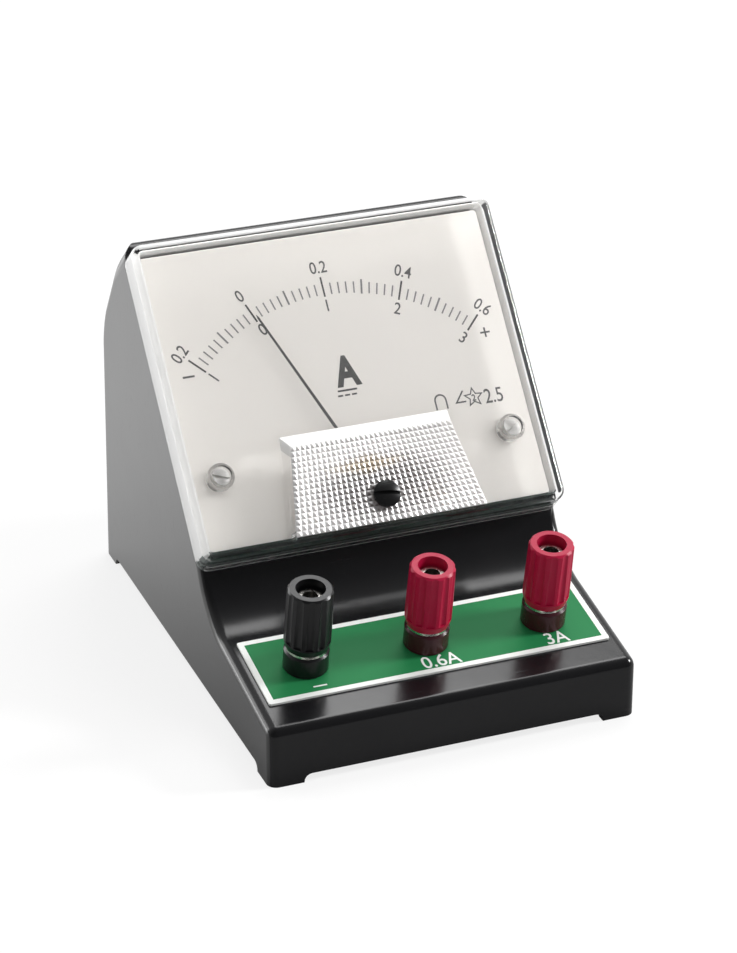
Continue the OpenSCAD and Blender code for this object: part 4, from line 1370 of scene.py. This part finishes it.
@dataclass
class DialPrint:
    """Scale, numerals and signs printed on the dial."""

    inner: float = 51.1
    half_angle: float = 45.0
    divisions: int = 40
    above: float = 0.03
    long_tick: Triple = (0.0, 5.4, 0.5)  # start, length and width
    mid_tick: Triple = (0.3, 4.0, 0.5)
    short_tick: Triple = (0.5, 3.1, 0.4)
    outer_figures: tuple[str, ...] = ("0.2", "0", "0.2", "0.4", "0.6")
    inner_figures: tuple[str, ...] = ("1", "0", "1", "2", "3")
    outer_radius: float = 59.2
    inner_radius: float = 48.7
    figure: float = 3.2

    def on_arc(self, angle: float, radius: float) -> Matrix:
        """Transform to a point of the scale, turned with it."""
        return turn_z(-angle) @ shift(0, radius)

    def tick(self, angle: float, start: float, length: float, width: float) -> BMesh:
        """One mark of the scale."""
        return moved(bar(length, width), self.on_arc(angle, self.inner + start + length / 2))

    def ticks(self) -> tuple[list[BMesh], list[BMesh]]:
        """Marks of the scale.

        Returns:
            The black ones and the grey ones.
        """
        black, grey = [], []
        for i in range(self.divisions + 1):
            angle = -self.half_angle + 2 * self.half_angle * i / self.divisions
            if i % 10 == 0:
                black.append(self.tick(angle, *self.long_tick))
            else:
                grey.append(self.tick(angle, *(self.short_tick if i % 5 else self.mid_tick)))
        return black, grey

    def numerals(self) -> list[BMesh]:
        """Figures outside and inside the scale.

        Returns:
            Their meshes.
        """
        step = 2 * self.half_angle / (len(self.outer_figures) - 1)
        return [
            moved(lettering(words, self.figure, 0.85, 0.04), self.on_arc(-self.half_angle + step * i, radius))
            for i, pair in enumerate(zip(self.outer_figures, self.inner_figures))
            for words, radius in zip(pair, (self.outer_radius, self.inner_radius))
        ]

    def unit(self) -> list[BMesh]:
        """The unit's letter, underlined, over the sign for direct current.

        Returns:
            Their meshes.
        """
        dashes = [moved(bar(1.4, 0.45), shift(x, 24.2) @ turn_z(90)) for x in (-2.5, -0.6, 1.3)]
        return [
            moved(lettering("A", 7.7, 0.8, 0.42), shift(0.7, 30.6)),
            moved(bar(5.3, 0.5), shift(-0.3, 25.5) @ turn_z(90)),
            *dashes,
        ]

    def signs(self) -> list[BMesh]:
        """Signs of the poles, the movement, its place, its test and its class.

        Returns:
            Their meshes.
        """
        bend = [math.radians(a) for a in range(20, 180, 20)]
        arch = [
            (-1.5, -2.0), (-1.5, 0.5), *((-1.5 * math.cos(a), 0.5 + 1.5 * math.sin(a)) for a in bend),
            (1.5, 0.5), (1.5, -2.0),
        ]
        points = [(math.radians(36 * k), radius) for k, radius in enumerate((2.5, 1.15) * 5)]
        star = [(radius * math.sin(a), radius * math.cos(a)) for a, radius in points]
        return [
            moved(bar(3.2, 0.55), shift(-40.9, 35.6) @ turn_z(90)),
            moved(bar(2.7, 0.5), shift(40.7, 34.9)),
            moved(bar(2.7, 0.5), shift(40.7, 34.9) @ turn_z(90)),
            moved(ribbon(arch, 0.45), shift(23.8, 18.2)),
            moved(ribbon([(1.1, 1.6), (-1.3, -1.4), (1.4, -1.4)], 0.42), shift(29.3, 18.7)),
            moved(ribbon(star, 0.32, closed=True), shift(33.0, 18.1)),
            moved(lettering("2", 1.7, 0.9, 0.06), shift(33.0, 18.0)),
            moved(lettering("2.5", 3.9, 0.8, 0.03), shift(38.5, 17.8)),
        ]

    def build(self, finishes: Finishes) -> None:
        """Prints the dial.

        Args:
            finishes: The instrument's materials.
        """
        black, grey = self.ticks()
        level = WINDOW.matrix(0, PIVOT_S, -DIAL_DEPTH + self.above)
        for name, parts, ink in (
            ("dial_scale", black, finishes.ink),
            ("dial_fine_scale", grey, finishes.ink_grey),
            ("dial_numerals", self.numerals(), finishes.ink_thin),
            ("dial_unit", self.unit(), finishes.ink),
            ("dial_signs", self.signs(), finishes.ink_thin),
        ):
            place_piece(name, merged(parts), level, [ink])


@dataclass
class LabelPlate:
    """Green plate on the deck with a white edge and the signs of the posts."""

    width: float = 91.0
    length: float = 24.6
    front: float = 9.4
    thick: float = 0.6
    border: float = 1.5
    corner: float = 0.5
    print_high: float = 0.02
    print_deep: float = 0.1
    letter: float = 4.3
    letter_y: float = 13.4

    def sheet(self, inset: float, low: float, high: float) -> BMesh:
        """Plate with the holes of the posts.

        Args:
            inset: Distance inside the plate's edge.
            low: Height of its underside.
            high: Height of its face.

        Returns:
            The new closed mesh.
        """
        half = self.width / 2 - inset
        bm = block((-half, self.front + inset, low), (half, self.front + self.length - inset, high))
        if not inset:
            round_edges(bm, upright_edges(bm, 0.1), self.corner, 3)
        for x in POST_X:
            bm = joined(bm, moved(drum(POST_HOLE, -1.0, 2.0), shift(x, POST_Y)), Joining.CUT)
        return bm

    def build(self, finishes: Finishes) -> None:
        """Makes the plate and its print.

        Args:
            finishes: The instrument's materials.
        """
        place_piece(
            "label_face", self.sheet(0.0, 0.0, self.thick), DECK.matrix(), [finishes.white_print],
            replaces=["label_plate"],
        )
        field_low, field_high = self.thick - self.print_deep, self.thick + self.print_high
        place_piece(
            "label_field", self.sheet(self.border, field_low, field_high), DECK.matrix(), [finishes.green],
        )
        signs = [
            moved(bar(3.6, 0.5), shift(-31.2, 12.6) @ turn_z(90)),
            *(
                moved(lettering(words, self.letter, 0.88, 0.06), shift(x, self.letter_y))
                for words, x in (("0.6A", 1.1), ("3A", 32.6))
            ),
        ]
        place_piece(
            "label_signs", merged(signs), DECK.matrix(out=field_high + self.print_high), [finishes.white_print],
        )


# ---- Stage ------------------------------------------------------------------


def paper_floor() -> bpy.types.Material:
    """White floor that keeps a soft shadow; behind the object it glows white to glossy rays, a painted light that the
    case's sides mirror.

    Returns:
        The material.
    """
    tree = Tree("floor_white")
    grain = tree.noise(30.0, 2.0)
    rays = tree.add("ShaderNodeLightPath")
    seen = rays[Ray.CAMERA].most(rays[Ray.TRANSMISSION])
    # behind the object the floor glows white in gloss: painted light for the case's sides to mirror
    behind = tree.axes()[1].ramp(-0.09, 0.19)
    grey = tree.blend(grain, (0.42, 0.42, 0.42), (0.39, 0.39, 0.39))
    paper = tree.surface(Base_Color=tree.blend(seen, grey, (0.97, 0.97, 0.97)), Roughness=0.9)
    glow = tree.plain("ShaderNodeEmission", Strength=1.0)
    white = (seen * 0.8).most(rays[Ray.GLOSSY] * behind)
    return tree.done(tree.mixed(white, paper, glow))


def white_world(strength: float, front: float, back: float) -> None:
    """Surroundings that are white to the eye and through clear parts, and brighter behind in gloss.

    Args:
        strength: How strongly they light matt surfaces.
        front: Brightness that gloss mirrors towards the front.
        back: Brightness that gloss mirrors towards the back.
    """
    tree = Tree("studio", sky=True)
    rays = tree.add("ShaderNodeLightPath")
    heading = tree.axes(tree.add("ShaderNodeTexCoord")[Coordinates.GENERATED])[1]
    matt, ahead, behind, full = (
        tree.plain("ShaderNodeBackground", Strength=level) for level in (strength, front, back, 1.0)
    )
    mirrored = tree.mixed(heading.ramp(-0.55, 0.6), ahead, behind)
    lit = tree.mixed(rays[Ray.GLOSSY], matt, mirrored)
    seen = rays[Ray.CAMERA].most(rays[Ray.TRANSMISSION])
    bpy.context.scene.world = tree.done(tree.mixed(seen, lit, full))


@dataclass(frozen=True)
class SoftLight:
    """Square area light that faces the instrument, in metres and watts."""

    name: str
    at: Triple
    size: float
    watts: float
    aim: Triple = (0.0, 0.0, 0.05)

    def build(self) -> None:
        """Adds the light to the scene."""
        lamp = bpy.data.lights.new(self.name, "AREA")
        lamp.shape, lamp.size, lamp.energy = "SQUARE", self.size, self.watts
        obj = linked(self.name, lamp)
        obj.location = self.at
        obj.rotation_euler = (Vector(self.aim) - Vector(self.at)).to_track_quat("-Z", "Y").to_euler()


@dataclass
class Studio:
    """Camera, lights, surroundings and floor, in metres."""

    look_at: Triple = (0.00015, -0.007, 0.04807)
    back: Triple = (-0.3262, -0.8337, 0.4455)
    distance: float = 0.82143
    lens: float = 121.04
    sensor: float = 36.0
    matt_light: float = 0.42
    mirrored_front: float = 0.12
    mirrored_back: float = 0.95
    floor_half: float = 3.0
    lights: tuple[SoftLight, ...] = (
        SoftLight("key", (1.05, -0.28, 0.62), 0.26, 13.0),
        SoftLight("top", (0.36, 0.42, 1.12), 0.6, 7.0),
        SoftLight("rim", (-0.75, 0.95, 0.3), 0.8, 9.0),
    )

    def camera(self) -> None:
        """Sets the point of view."""
        camera = bpy.data.cameras.new("camera")
        camera.lens, camera.sensor_width, camera.sensor_fit = self.lens, self.sensor, "AUTO"
        camera.clip_start = 10 * MM
        obj = linked("camera", camera)
        away = Vector(self.back).normalized()
        obj.location = Vector(self.look_at) + away * self.distance
        obj.rotation_euler = away.to_track_quat("Z", "Y").to_euler()
        bpy.context.scene.camera = obj
        bpy.context.scene.view_settings.view_transform = "Standard"

    def floor(self) -> None:
        """Lays the floor."""
        bm = bmesh.new()
        bmesh.ops.create_grid(bm, x_segments=1, y_segments=1, size=self.floor_half)
        mesh = bpy.data.meshes.new("floor")
        bm.to_mesh(mesh)
        bm.free()
        mesh.materials.append(paper_floor())
        floor = linked("floor", mesh)

    def build(self) -> None:
        """Sets up the view, the light and the floor."""
        self.camera()
        white_world(self.matt_light, self.mirrored_front, self.mirrored_back)
        for light in self.lights:
            light.build()
        self.floor()


def main() -> None:
    """Builds the whole scene in order."""
    logging.basicConfig(level=logging.INFO, format="%(name)s: %(message)s")
    Studio().build()
    finishes = Finishes()
    dress_solids(finishes)
    Case().build(finishes)
    ClearCover().build(finishes)
    DialPrint().build(finishes)
    LabelPlate().build(finishes)


if __name__ == "__main__":
    main()
